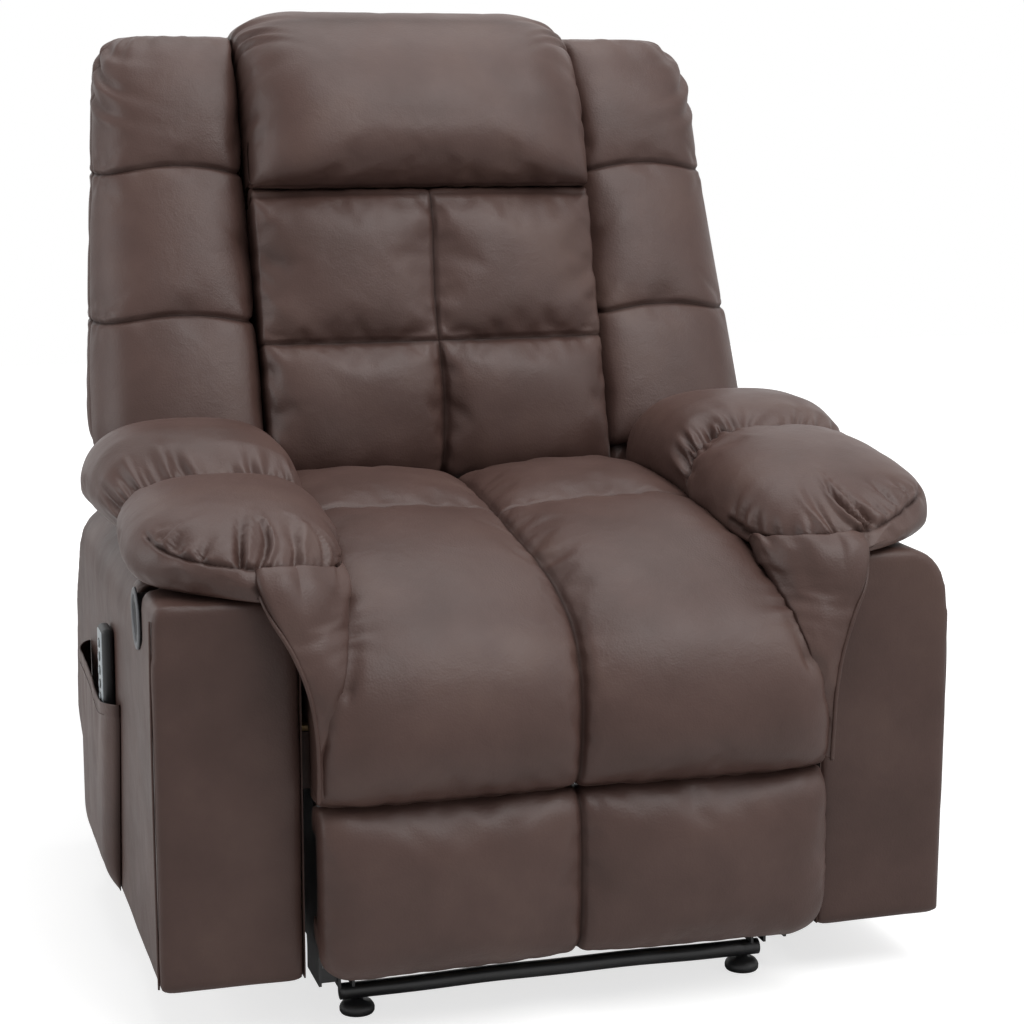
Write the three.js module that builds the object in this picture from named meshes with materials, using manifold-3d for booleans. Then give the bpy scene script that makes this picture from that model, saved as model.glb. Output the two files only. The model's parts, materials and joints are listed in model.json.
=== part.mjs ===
// A manual recliner with massage motors, upholstered in brown imitation leather.
// Millimetres, +Z up, and the sitter faces -Y. Left and right are as seen from the front.
// The origin is on the floor under the middle of the chair's outer box.
import * as THREE from 'three';
import { mergeVertices } from 'three/addons/utils/BufferGeometryUtils.js';
import Module from 'manifold-3d';

const wasm = await Module();
wasm.setup();

// ---- Driving dimensions -------------------------------------------------------------------

const gap = 0.3;                 // between pieces that touch
const runningGap = 0.6;          // between links that slide over each other

// arms
const panelOuterX = 440;         // outer face of the side panels
const armWidth = 149;            // from that face to the arm's inner face
const armFrontY = -405;
const armRearY = 365;
const armTopZ = 472;             // deck that the arm pad lies on
const armBottomZ = 61;
const armWall = 12;              // board, foam and cover together
const armRearRun = 199;          // the rear end slopes in over this length below
const armCrownRun = 114;         // and over this length above
const rearPostDepth = 35;
const shoulderRadius = 58;       // outer upper edge of the panel
const frameBoard = 18;           // plywood of the arm frames
const padOverhang = 20;          // the pad stands out from the side panel
const padHeight = 147;
const padReachIn = 66;           // the pad reaches over the seat
const padNose = 13;              // the pad stands out in front of the panel
const padRearY = 118;

// seat
const seatSideGap = 5;           // between the seat and each arm
const seatTopZ = 516;
const seatRearY = 99;
const seatFrontY = -465;
const seatSkirtZ = 262;          // lower edge of the seat's front
const seatSkirtDepth = 84;
const seatSeamDip = 21;          // depth of the seam between the seat's two fields
const deckZ = 336;               // top of the seat frame
const railHeight = 66;
const crossRailHeight = 28;      // front and rear rails clear the links
const railThickness = 22;
const seatSpringCount = 4;
const backSpringCount = 4;
const springWire = 3.6;          // diameter
const springPitch = 62;
const springSwing = 24;

// back
const pivotY = 165;              // recline hinge
const pivotZ = 385;
const backLean = 0.29;           // rearward run for each unit of height
const backPlaneY = 235;          // plane behind the cushions, at this height
const backPlaneZ = 500;
const backPanDepth = 65;
const backPanWall = 10;
const backBottomZ = 334;
const headTopZ = 1085;
const headHeight = 226;          // head cushion, above its seam with the tufted back
const wingDrop = 35;             // the wings end this far below the head
const wingOuterTop = 392;
const wingOuterBottom = 430;
const wingBottomZ = 560;
const backDepthLow = 122;
const backDepthHigh = 168;
const headSeamDepth = 150;
const headDepth = 188;
const headSideDepth = 118;
const headCornerDrop = 39;       // the head cushion's sides end this far below its middle
const wingDepthInner = 132;
const wingDepthOuter = 88;
const stileWidth = 40;
const stileDepth = 38;
const bracketTab = 21.8;         // from the recline bracket to the stile
const stileInset = 22;           // inside the back cushion's edge
const frameDrop = 60;            // the timber frame ends this far below the wings

// footrest
const footrestSideGap = 5;       // the footrest is narrower than the seat
const footrestBottomZ = 74;
const footrestTopZ = 254;
const footrestFrontY = -451;
const footrestPadDepth = 62;
const footrestBoard = 12;
const boardInset = 14;           // the board is smaller than its pad

// footrest linkage
const linkThickness = 3;
const linkWidth = 20;
const plateThickness = 3;
const rivetRadius = 4;
const rivetHole = 4.5;
const drivePivotY = -201;
const drivePivotZ = 286;
const driveReach = 216;
const driveStartDegrees = 230;   // from straight ahead, turning upwards
const driveSwingDegrees = 118;
const followerOffset = 60;
const followerOffsetDegrees = 22.5;
const crossRun = 300;            // cross link, forward and upward
const crossRise = 78;
const crossDip = 14;             // the cross link bends down to pass under the seat's front
const crankReach = 38;           // bell crank of the drive link
const crankDegrees = 133;
const earReach = 68;             // from the board's front pivot to its rear one
const outerLinkPlay = 2.2;       // the open pivot runs in a larger hole
const torqueTubeRadius = 12.5;
const tubeWall = 2;

// base
const glideInset = 23.2;         // from the base rail's outer face
const glideFrontY = -349;
const glideRearY = 262;
const glideRadius = 19;
const glideHeight = 12;
const baseRailWidth = 18;
const baseRailHeight = 22;
const crossTubeRadius = 9;
const crossTubeBow = 26;         // the front tube bows forward
const crossTubeRise = 12;        // and up, in the middle
const crossTubeEndZ = 25;

// latch, pocket and handset
const latchY = -292;
const latchZ = 437;
const latchHeight = 66;
const latchWidth = 52;
const latchDepth = 26;
const latchFlange = 2.4;
const latchLean = 20;            // degrees that the bezel leans back
const paddleThickness = 4;
const pocketFrontY = -124;
const pocketRearY = 172;
const pocketTopZ = 310;
const pocketMouthZ = 288;
const pocketBulge = 20;
const pocketCloth = 2;
const handsetWidth = 44;
const handsetThickness = 14.6;
const handsetLength = 150;
const handsetTopZ = 377;
const handsetFrontY = -78;
const buttonCount = 5;
const buttonProud = 1.2;
const buttonTravel = 0.8;

// motors and control box
const motorRadius = 32;
const motorHeight = 26;
const lumbarMotorLift = 54;      // above the seat's top
const upperMotorDrop = 99;       // below the head cushion's seam
const boxLength = 120;
const boxHeight = 50;
const boxDepth = 34;
const stretcherInset = 66;       // in front of the arms' rear ends
const stretcherLift = 116;       // above the arms' lower edge
const stretcherHeight = 60;

// ---- Places worked out from them ----------------------------------------------------------

const armInnerX = panelOuterX - armWidth;
const seatHalf = armInnerX - seatSideGap;
const padOuterX = panelOuterX + padOverhang;
const padInnerX = armInnerX - padReachIn;
const railOuterX = armInnerX - gap;
const railInnerX = railOuterX - railThickness;
const plateOuterX = railInnerX - gap;
const plateInnerX = plateOuterX - plateThickness;
// Each link runs in a layer of its own, counted inwards from the side plate.
const layer = (number) => {
  const outer = plateInnerX - runningGap - number * (linkThickness + runningGap);
  return { outer, inner: outer - linkThickness };
};
const outerLinkLayer = layer(0);
const driveLayer = layer(1);
const crossLayer = layer(2);
const followerLayer = layer(3);
const baseRailOuterX = followerLayer.inner - 3 * runningGap - linkThickness;
const reclineLayer = layer(0);
const glideX = baseRailOuterX - glideInset;
const baseRailZ = crossTubeEndZ + crossTubeRadius + gap;
const railTopZ = deckZ - springWire - 2 * gap;
const railBottomZ = railTopZ - railHeight;
const padBottomZ = armTopZ + gap;
const skirtBackY = seatFrontY + seatSkirtDepth;
const footrestHalf = seatHalf - footrestSideGap;
const footrestBackY = footrestFrontY + footrestPadDepth;
const boardBackY = footrestBackY + gap + footrestBoard;
const headSeamZ = headTopZ - headHeight;   // between the head cushion and the tufted back
const wingTopZ = headTopZ - wingDrop;
const stileOuterX = reclineLayer.inner - bracketTab;
const stileInnerX = stileOuterX - stileWidth;
const backCushionHalf = stileInnerX + stileInset;

// ---- Shape helpers ------------------------------------------------------------------------

const degrees = THREE.MathUtils.degToRad;
const polar = (length, angle) => [length * Math.cos(degrees(angle)), length * Math.sin(degrees(angle))];
const turn = ([u, v], angle) => {
  const c = Math.cos(degrees(angle));
  const s = Math.sin(degrees(angle));
  return [c * u - s * v, s * u + c * v];
};
const plus = (a, b) => a.map((value, i) => value + b[i]);
const minus = (a, b) => a.map((value, i) => value - b[i]);
const dot = (a, b) => a[0] * b[0] + a[1] * b[1];
const blend = (from, to, share) => from + (to - from) * share;

function toSolid(geometry) {
  let merged = geometry;
  if (geometry.attributes.normal) {
    const bare = geometry.clone();
    bare.deleteAttribute('normal');
    bare.deleteAttribute('uv');
    merged = mergeVertices(bare, 1e-4);
  }
  return new wasm.Manifold(new wasm.Mesh({
    numProp: 3,
    vertProperties: new Float32Array(merged.attributes.position.array),
    triVerts: new Uint32Array(merged.index.array),
  }));
}

function toGeometry(solid) {
  const { vertProperties, triVerts } = solid.getMesh();
  const geometry = new THREE.BufferGeometry();
  geometry.setAttribute('position', new THREE.BufferAttribute(vertProperties, 3));
  geometry.setIndex(new THREE.BufferAttribute(triVerts, 1));
  return geometry;
}

const join = (...pieces) => toGeometry(pieces.map(toSolid).reduce((sum, piece) => sum.add(piece)));
const common = (...pieces) => toGeometry(pieces.map(toSolid).reduce((rest, piece) => rest.intersect(piece)));
function cut(from, ...tools) {
  return toGeometry(tools.map(toSolid).reduce((rest, tool) => rest.subtract(tool), toSolid(from)));
}

function box(x0, x1, y0, y1, z0, z1) {
  const geometry = new THREE.BoxGeometry(x1 - x0, y1 - y0, z1 - z0);
  return geometry.translate((x0 + x1) / 2, (y0 + y1) / 2, (z0 + z1) / 2);
}

const asShape = (outline) => new THREE.Shape(outline.map(([u, v]) => new THREE.Vector2(u, v)));
const circle = (radius, u, v, sides) => {
  const points = [];
  for (let i = 0; i < sides; i++) {
    points.push(plus([u, v], polar(radius, 360 * i / sides)));
  }
  return points;
};

function extrude(outline, depth, holes) {
  const shape = asShape(outline);
  shape.holes = holes.map((hole) => new THREE.Path(hole.map(([u, v]) => new THREE.Vector2(u, v))));
  return new THREE.ExtrudeGeometry(shape, { depth, bevelEnabled: false, steps: 1 });
}

// An outline of (Y, Z) points between two X, of (X, Z) points between two Y, and of (X, Y) points
// between two Z.
function acrossX(outline, x0, x1, holes = []) {
  const basis = new THREE.Matrix4().set(0, 0, 1, x0, 1, 0, 0, 0, 0, 1, 0, 0, 0, 0, 0, 1);
  return extrude(outline, x1 - x0, holes).applyMatrix4(basis);
}
function alongY(outline, y0, y1, holes = []) {
  const basis = new THREE.Matrix4().set(1, 0, 0, 0, 0, 0, -1, y1, 0, 1, 0, 0, 0, 0, 0, 1);
  return extrude(outline, y1 - y0, holes).applyMatrix4(basis);
}
const upZ = (outline, z0, z1, holes = []) => extrude(outline, z1 - z0, holes).translate(0, 0, z0);

const pinX = (x0, x1, [y, z], radius, sides = 12) => acrossX(circle(radius, y, z, sides), x0, x1);
const pinY = (y0, y1, [x, z], radius, sides = 16) => alongY(circle(radius, x, z, sides), y0, y1);
const pinZ = (z0, z1, [x, y], radius, sides = 16) => upZ(circle(radius, x, y, sides), z0, z1);

function rod(points, radius, sides, steps) {
  const path = new THREE.CatmullRomCurve3(points.map((p) => new THREE.Vector3(...p)), false, 'centripetal');
  const options = { steps, bevelEnabled: false, extrudePath: path };
  return new THREE.ExtrudeGeometry(asShape(circle(radius, 0, 0, sides)), options);
}

// Outlines with equal numbers of points, joined in order and closed at both ends.
function loft(outlines, place) {
  const count = outlines[0].length;
  const points = outlines.flatMap((outline, i) => outline.map(([u, v]) => place(u, v, i)));
  const faces = [];
  for (let ring = 0; ring < outlines.length - 1; ring++) {
    for (let i = 0; i < count; i++) {
      const a = ring * count + i;
      const b = ring * count + (i + 1) % count;
      faces.push([a, b, b + count], [a, b + count, a + count]);
    }
  }
  const cap = (ring, flip) => {
    const flat = outlines[ring].map(([u, v]) => new THREE.Vector2(u, v));
    const turning = Math.sign(THREE.ShapeUtils.area(flat));
    for (const corners of THREE.ShapeUtils.triangulateShape(flat, [])) {
      const face = corners.map((i) => i + ring * count);
      const same = Math.sign(THREE.ShapeUtils.area(corners.map((i) => flat[i]))) === turning;
      faces.push(flip === same ? face.reverse() : face);
    }
  };
  cap(0, true);
  cap(outlines.length - 1, false);
  const volume = faces.reduce((sum, [a, b, c]) => {
    const [p, q, r] = [points[a], points[b], points[c]].map((point) => new THREE.Vector3(...point));
    return sum + p.dot(q.cross(r));
  }, 0);
  const geometry = new THREE.BufferGeometry();
  geometry.setAttribute('position', new THREE.Float32BufferAttribute(points.flat(), 3));
  geometry.setIndex((volume < 0 ? faces.map((face) => face.reverse()) : faces).flat());
  return geometry;
}

// Moves each side of an outline inwards.
function inset(outline, distance) {
  const count = outline.length;
  const area = outline.reduce((sum, [u, v], i) => {
    const [nextU, nextV] = outline[(i + 1) % count];
    return sum + u * nextV - nextU * v;
  }, 0);
  const side = Math.sign(area) * distance;
  const normal = (from, to) => {
    const [du, dv] = minus(to, from);
    const length = Math.hypot(du, dv);
    return [-dv / length, du / length];
  };
  return outline.map((point, i) => {
    const before = normal(outline[(i + count - 1) % count], point);
    const after = normal(point, outline[(i + 1) % count]);
    const sum = plus(before, after);
    const reach = side / Math.max(0.5, dot(sum, sum) / 2);
    return plus(point, [sum[0] * reach, sum[1] * reach]);
  });
}

// A cushion: one outline, drawn in towards its two faces. Each station is a place and an inset.
const cushion = (outline, stations, place) =>
  loft(stations.map(([, drawIn]) => inset(outline, drawIn)), (u, v, i) => place(u, v, stations[i][0]));

const mirrorX = (geometry) => {
  const mirrored = geometry.clone().applyMatrix4(new THREE.Matrix4().makeScale(-1, 1, 1));
  const index = mirrored.index ? Array.from(mirrored.index.array)
    : Array.from({ length: mirrored.attributes.position.count }, (_, i) => i);
  for (let i = 0; i < index.length; i += 3) {
    [index[i], index[i + 1]] = [index[i + 1], index[i]];
  }
  mirrored.setIndex(index);
  return mirrored;
};

// ---- Materials ----------------------------------------------------------------------------

function material(color, roughness, metalness = 0) {
  return new THREE.MeshStandardMaterial({ color, roughness, metalness });
}
const leather = material(0x5b4740, 0.5);
const plywood = material(0xb08c5e, 0.8);
const blackSteel = material(0x1b1b1c, 0.45, 0.7);
const springSteel = material(0x8a8a88, 0.4, 0.9);
const blackPlastic = material(0x1f1f21, 0.5);
const greyPlastic = material(0x55565a, 0.45);
const silverPlastic = material(0xa9aeb2, 0.4);

const chair = new THREE.Group();

function add(name, geometry, finish) {
  const mesh = new THREE.Mesh(geometry, finish);
  mesh.name = name;
  chair.add(mesh);
}

// A piece made for the right-hand side, and its mirror image.
function addPair(name, geometry, finish) {
  add(`${name}_right`, geometry, finish);
  add(`${name}_left`, mirrorX(geometry), finish);
}

// ---- Base and mechanism sides -------------------------------------------------------------

const drivePivot = [drivePivotY, drivePivotZ];
// Linkage vectors are written as (forward, up) and turned into (Y, Z) here.
const forward = ([ahead, up]) => [-ahead, up];
const followerVector = polar(followerOffset, followerOffsetDegrees);
const followerPivot = plus(drivePivot, forward([-followerVector[0], -followerVector[1]]));
const driveVector = polar(driveReach, driveStartDegrees);
const driveEnd = plus(drivePivot, forward(driveVector));
const followerEnd = plus(driveEnd, forward([-followerVector[0], -followerVector[1]]));
const crossVector = [crossRun, crossRise];
const boardPivot = plus(driveEnd, forward(crossVector));
const crankVector = polar(crankReach, crankDegrees);
const crankPivot = plus(driveEnd, forward(crankVector));
// The ear points the way that gives the outer link the same length at both ends of the travel.
const boardTurn = 90;
const earLever = plus(minus(crossVector, turn(crossVector, -boardTurn)),
  minus(turn(crankVector, driveSwingDegrees - boardTurn), crankVector));
const earShare = dot(crossVector, minus(crankVector, turn(crankVector, driveSwingDegrees)))
  / (earReach * Math.hypot(...earLever));
const earVector = turn(earLever, THREE.MathUtils.radToDeg(Math.acos(earShare)))
  .map((value) => value * earReach / Math.hypot(...earLever));
const earPivot = plus(boardPivot, forward(earVector));

function sidePlate() {
  const legBottomZ = baseRailZ + 6;
  const frontLegY = glideFrontY - 20;
  const outline = [
    [frontLegY, legBottomZ], [frontLegY + 62, legBottomZ], [frontLegY + 62, legBottomZ + 26],
    [drivePivotY - 60, drivePivotZ - 42], [followerPivot[0] + 30, followerPivot[1] - 34],
    [glideRearY - 190, legBottomZ + 60], [glideRearY - 190, legBottomZ], [glideRearY, legBottomZ],
    [glideRearY, legBottomZ + 60], [pivotY + 62, pivotZ - 80], [pivotY + 24, pivotZ + 8],
    [pivotY, pivotZ + 22], [pivotY - 24, pivotZ + 8], [pivotY - 40, railBottomZ + 50],
    [frontLegY + 60, railBottomZ + 50],
    [frontLegY, railBottomZ - 60],
  ];
  const plate = acrossX(outline, plateInnerX, plateOuterX);
  const boss = rivetRadius * 1.8;
  return join(plate,
    pinX(driveLayer.outer + gap, plateInnerX + 1, drivePivot, boss),
    pinX(driveLayer.inner - linkThickness, plateInnerX + 1, drivePivot, rivetRadius),
    pinX(followerLayer.outer + gap, plateInnerX + 1, followerPivot, boss),
    pinX(followerLayer.inner - 2, plateInnerX + 1, followerPivot, rivetRadius),
    pinX(reclineLayer.inner - 2, plateInnerX + 1, [pivotY, pivotZ], rivetRadius * 1.5));
}

// The feet stand under a channel that runs from front to rear. Two blocks weld it to the side plate.
function baseRail() {
  const inner = baseRailOuterX - baseRailWidth;
  const top = baseRailZ + baseRailHeight;
  const wall = 3;
  const channel = cut(
    box(inner, baseRailOuterX, glideFrontY - 14, glideRearY + 18, baseRailZ, top),
    box(inner + wall, baseRailOuterX - wall, glideFrontY - 15, glideRearY + 19, baseRailZ - 1, top - wall));
  const reach = plateInnerX + 1;
  const block = (y0, y1) => box(baseRailOuterX - wall, reach, y0, y1, baseRailZ + 6, top);
  const frontBlock = block(glideFrontY - 10, glideFrontY + 32);
  const rearBlock = block(glideRearY - 180, glideRearY - 6);
  return join(channel, frontBlock, rearBlock);
}

function crossTube(y, bow, rise) {
  const endX = baseRailOuterX - 2;
  const bend = glideX - 60;
  // Places along half of the tube: X, and the share of the bow and of the rise reached there.
  const half = [[endX, 0, 0], [glideX, 0, 0], [bend, 0.55, 0.5], [bend / 2, 0.9, 0.95]];
  const place = (side) => ([x, bowShare, riseShare]) =>
    [side * x, y - bow * bowShare, crossTubeEndZ + rise * riseShare];
  const middle = [0, y - bow, crossTubeEndZ + rise];
  const points = [...half.map(place(-1)), middle, ...half.map(place(1)).reverse()];
  return rod(points, crossTubeRadius, 10, 28);
}

function glide(y) {
  const foot = new THREE.LatheGeometry([
    [0, 0], [glideRadius - 3, 0], [glideRadius, 3], [glideRadius, 8], [glideRadius - 5, glideHeight],
    [6, glideHeight], [6, crossTubeEndZ - crossTubeRadius - gap], [0, crossTubeEndZ - crossTubeRadius - gap],
  ].map(([r, z]) => new THREE.Vector2(r, z)), 20);
  return foot.rotateX(Math.PI / 2).translate(glideX, y, 0);
}

addPair('side_plate', join(sidePlate(), baseRail()), blackSteel);
add('front_cross_tube', crossTube(glideFrontY, crossTubeBow, crossTubeRise), blackSteel);
add('rear_cross_tube', crossTube(glideRearY, 0, 0), blackSteel);
addPair('glide_front', glide(glideFrontY), blackPlastic);
addPair('glide_rear', glide(glideRearY), blackPlastic);

// ---- Footrest and its linkage -------------------------------------------------------------

// A flat bar with round ends through a list of (Y, Z) points.
function bar(points, { inner, outer }) {
  const halfWidth = linkWidth / 2;
  const pieces = points.slice(1).map((end, i) => {
    const start = points[i];
    const heading = THREE.MathUtils.radToDeg(Math.atan2(end[1] - start[1], end[0] - start[0]));
    const outline = [];
    for (const [centre, first] of [[end, heading - 90], [start, heading + 90]]) {
      for (let step = 0; step <= 6; step++) {
        outline.push(plus(centre, polar(halfWidth, first + 30 * step)));
      }
    }
    return acrossX(outline, inner, outer);
  });
  return pieces.length > 1 ? join(...pieces) : pieces[0];
}
const hole = (at, radius = rivetHole) => pinX(0, panelOuterX, at, radius);

const driveLink = cut(join(
  bar([drivePivot, driveEnd, crankPivot], driveLayer),
  pinX(crossLayer.inner - 2, driveLayer.inner + 1, driveEnd, rivetRadius),
  pinX(driveLayer.outer - 1, outerLinkLayer.outer, crankPivot, rivetRadius),
), hole(drivePivot));

const followerBar = bar([followerPivot, followerEnd], followerLayer);
const followerLink = cut(followerBar, hole(followerPivot), hole(followerEnd));

const crossBend = plus(driveEnd, forward([crossRun * 0.3, crossRise * 0.3 - crossDip]));
const crossRiseStart = plus(driveEnd, forward([crossRun * 0.62, crossRise * 0.62 - crossDip * 0.6]));
const crossBar = bar([followerEnd, driveEnd, crossBend, crossRiseStart, boardPivot], crossLayer);
const crossLink = join(cut(crossBar, hole(driveEnd), hole(boardPivot)),
  pinX(followerLayer.inner - 2, crossLayer.inner + 1, followerEnd, rivetRadius));

const outerBar = bar([crankPivot, earPivot], outerLinkLayer);
const outerLink = cut(outerBar, hole(crankPivot), hole(earPivot, rivetHole + outerLinkPlay));

// The board with its two steel ears, which are riveted on.
function footrestFrame() {
  const board = box(-footrestHalf + boardInset, footrestHalf - boardInset, footrestBackY + gap, boardBackY,
    footrestBottomZ + boardInset, footrestTopZ - boardInset);
  const earRadius = linkWidth / 2;
  const outline = [
    [boardBackY - 1, boardPivot[1] - 46], [boardPivot[0] + 4, boardPivot[1] - earRadius],
    [earPivot[0] + earRadius, earPivot[1] - 4], [earPivot[0] + 5, earPivot[1] + earRadius],
    [earPivot[0] - earRadius, earPivot[1] + 8], [boardBackY - 1, boardPivot[1] + 24],
  ];
  const ear = join(acrossX(outline, driveLayer.inner, driveLayer.outer),
    box(driveLayer.inner - 30, driveLayer.outer, boardBackY - 1, boardBackY + linkThickness,
      boardPivot[1] - 46, boardPivot[1] + 24),
    pinX(crossLayer.inner - 2, driveLayer.inner + 1, boardPivot, rivetRadius),
    pinX(driveLayer.outer - 1, outerLinkLayer.outer, earPivot, rivetRadius));
  return join(board, ear, mirrorX(ear));
}

function footrestPad() {
  const corner = 26;
  const outline = [
    [-footrestHalf, footrestTopZ], [-footrestHalf, footrestBottomZ + corner],
    [-footrestHalf + corner * 0.3, footrestBottomZ + corner * 0.3], [-footrestHalf + corner, footrestBottomZ],
    [footrestHalf - corner, footrestBottomZ], [footrestHalf - corner * 0.3, footrestBottomZ + corner * 0.3],
    [footrestHalf, footrestBottomZ + corner], [footrestHalf, footrestTopZ],
  ];
  const stations = [[footrestBackY, 3], [footrestBackY - 8, 0], [footrestFrontY + 16, 0],
    [footrestFrontY + 5, 5], [footrestFrontY, 14]];
  return cushion(outline, stations, (x, z, y) => [x, y, z]);
}

const tubeReach = driveLayer.inner - gap;
add('torque_tube', acrossX(circle(torqueTubeRadius, ...drivePivot, 16), -tubeReach, tubeReach,
  [circle(torqueTubeRadius - tubeWall, ...drivePivot, 16)]), blackSteel);
addPair('drive_link', driveLink, blackSteel);
addPair('follower_link', followerLink, blackSteel);
addPair('cross_link', crossLink, blackSteel);
addPair('outer_link', outerLink, blackSteel);
add('footrest_frame', footrestFrame(), plywood);
add('footrest_pad', footrestPad(), leather);

// ---- Seat ---------------------------------------------------------------------------------

// A zigzag wire between two places, in a plane given by place(along, sideways).
function zigzag(from, to, middle, place) {
  const turns = Math.max(2, Math.round((to - from) / springPitch));
  const points = [];
  for (let i = 0; i <= turns * 4; i++) {
    const along = blend(from, to, i / (turns * 4));
    points.push(place(along, middle + springSwing * Math.sin(Math.PI / 2 * i)));
  }
  return rod(points, springWire / 2, 5, turns * 5);
}

// Count places, spread evenly between two ends with half a space at each.
const spread = (count, from, to) =>
  Array.from({ length: count }, (_, i) => blend(from, to, (i + 0.5) / count));

const crossRailHalf = plateInnerX - gap;
const frontRailY = skirtBackY + gap;
const springZ = deckZ - gap - springWire / 2;

function seatSprings() {
  const start = frontRailY + 4;
  const end = seatRearY - 4;
  const wires = spread(seatSpringCount, -plateInnerX + 20, plateInnerX - 20)
    .map((x) => zigzag(start, end, x, (y, across) => [across, y, springZ]));
  const ties = [0.3, 0.7].map((share) => {
    const y = blend(start, end, share);
    const tieEnd = plateInnerX - 60;
    return rod([[-tieEnd, y, springZ], [0, y, springZ], [tieEnd, y, springZ]], springWire / 2, 5, 2);
  });
  return join(...wires, ...ties);
}

// The fabric gore between the arm pad, the arm's front and the seat; grow widens it for a cut.
function gore(grow) {
  const faceY = armFrontY - gap;
  const edgeX = armInnerX - gap;
  const top = [[padInnerX + 12, armFrontY + 52], [edgeX, armFrontY + 52], [edgeX, faceY],
    [armInnerX + 38, faceY], [armInnerX + 36, faceY - 19], [armInnerX + 8, faceY - 37],
    [padInnerX + 26, faceY + 6]];
  const low = [[edgeX - 16, faceY - 20], [edgeX, faceY - 20], [edgeX, faceY - 21],
    [armInnerX + 5, faceY - 21], [armInnerX + 6, faceY - 36], [armInnerX - 2, faceY - 50],
    [edgeX - 14, faceY - 48]];
  const middle = low.map(([x, y], i) => [blend(x, top[i][0], 0.55), blend(y, top[i][1], 0.5)]);
  const rings = [low, middle, top];
  const heights = [padBottomZ - 108 - grow, padBottomZ - 52, padBottomZ - gap + grow];
  return loft(rings.map((ring) => inset(ring, -grow)), (x, y, i) => [x, y, heights[i]]);
}

const seatMotorAt = [0, -140];

// The seat from its rear edge over the top and down the front, lower by dip on the top and front.
function seatOutline(dip) {
  const crownY = -60;
  const noseZ = seatSkirtZ + 38;
  const roundness = 2 / 2.8;
  const topZ = seatTopZ - dip;
  const frontY = seatFrontY + dip;
  const outline = [[seatRearY, deckZ], [seatRearY, topZ - 40], [seatRearY - 14, topZ - 10],
    [seatRearY - 48, topZ]];
  for (let step = 0; step <= 9; step++) {
    const angle = Math.PI / 2 * step / 9;
    outline.push([crownY + (frontY - crownY) * Math.sin(angle) ** roundness,
      noseZ + (topZ - noseZ) * Math.cos(angle) ** roundness]);
  }
  outline.push([frontY + 4, seatSkirtZ + 12], [frontY + 18, seatSkirtZ],
    [skirtBackY - 14, seatSkirtZ], [skirtBackY, seatSkirtZ + 10], [skirtBackY, deckZ]);
  return outline;
}
// Two crowned fields: how far the seat dips, from the middle seam to the side.
const seatDips = [[0, seatSeamDip], [14, seatSeamDip - 7], [50, 5], [seatHalf / 2, 0],
  [seatHalf - 50, 2], [seatHalf - 16, 6], [seatHalf, 14]];
const bothWays = (stations) => [...stations.slice(1).reverse().map(([x, value]) => [-x, value]), ...stations];

function seatCushion() {
  const stations = bothWays(seatDips);
  const body = loft(stations.map(([, dip]) => seatOutline(dip)), (y, z, i) => [stations[i][0], y, z]);
  const rebate = box(padInnerX - gap, seatHalf + 1, armFrontY, seatRearY + 1,
    padBottomZ - gap, seatTopZ + 10);
  const motorPocket = pinZ(deckZ - 1, deckZ + motorHeight + 2 * gap, seatMotorAt, motorRadius + 1);
  return cut(body, rebate, mirrorX(rebate), gore(gap), mirrorX(gore(gap)), motorPocket);
}

addPair('seat_rail', box(railInnerX, railOuterX, frontRailY, seatRearY, railBottomZ, railTopZ), plywood);
add('seat_rail_front', box(-crossRailHalf, crossRailHalf, frontRailY, frontRailY + railThickness,
  railTopZ - crossRailHeight, railTopZ), plywood);
add('seat_rail_rear', box(-crossRailHalf, crossRailHalf, seatRearY - railThickness, seatRearY,
  railTopZ - crossRailHeight, railTopZ), plywood);
add('seat_springs', seatSprings(), springSteel);
add('seat_cushion', seatCushion(), leather);
add('seat_motor', pinZ(deckZ, deckZ + motorHeight, seatMotorAt, motorRadius), blackPlastic);

// ---- Arms ---------------------------------------------------------------------------------

const armSideOutline = [
  [armFrontY, armBottomZ], [armRearY - armRearRun, armBottomZ], [armRearY - 13, armBottomZ + 99],
  [armRearY, armBottomZ + 116], [armRearY - 25, armTopZ - 133], [armRearY - armCrownRun, armTopZ],
  [armFrontY, armTopZ],
];
function armFrontOutline(drawIn, innerX, bottomZ) {
  const outer = panelOuterX - drawIn;
  const top = armTopZ - drawIn;
  const outline = [[innerX, bottomZ], [outer, bottomZ]];
  for (let step = 0; step <= 5; step++) {
    const [x, z] = polar(shoulderRadius - drawIn, 18 * step);
    outline.push([outer - shoulderRadius + drawIn + x, top - shoulderRadius + drawIn + z]);
  }
  outline.push([innerX, top]);
  return outline;
}
function armBlock(drawIn, innerX, bottomZ) {
  const front = alongY(armFrontOutline(drawIn, innerX, bottomZ), armFrontY - 10, armRearY + 10);
  const side = acrossX(inset(armSideOutline, drawIn), innerX, panelOuterX + 10);
  return common(front, side);
}
const latchOutline = (drawIn) => {
  const points = [];
  for (let step = 0; step < 20; step++) {
    const angle = 2 * Math.PI * step / 20;
    const across = (latchWidth / 2 - drawIn) * Math.cos(angle);
    const along = (latchHeight / 2 - drawIn) * Math.sin(angle);
    points.push(plus([latchY, latchZ], turn([across, along], -latchLean)));
  }
  return points;
};
const cupRim = 6;                 // the flange is this much wider than the cup
const cableRadius = 2.5;
const cableExit = [latchY + 20, railBottomZ + 40];

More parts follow.
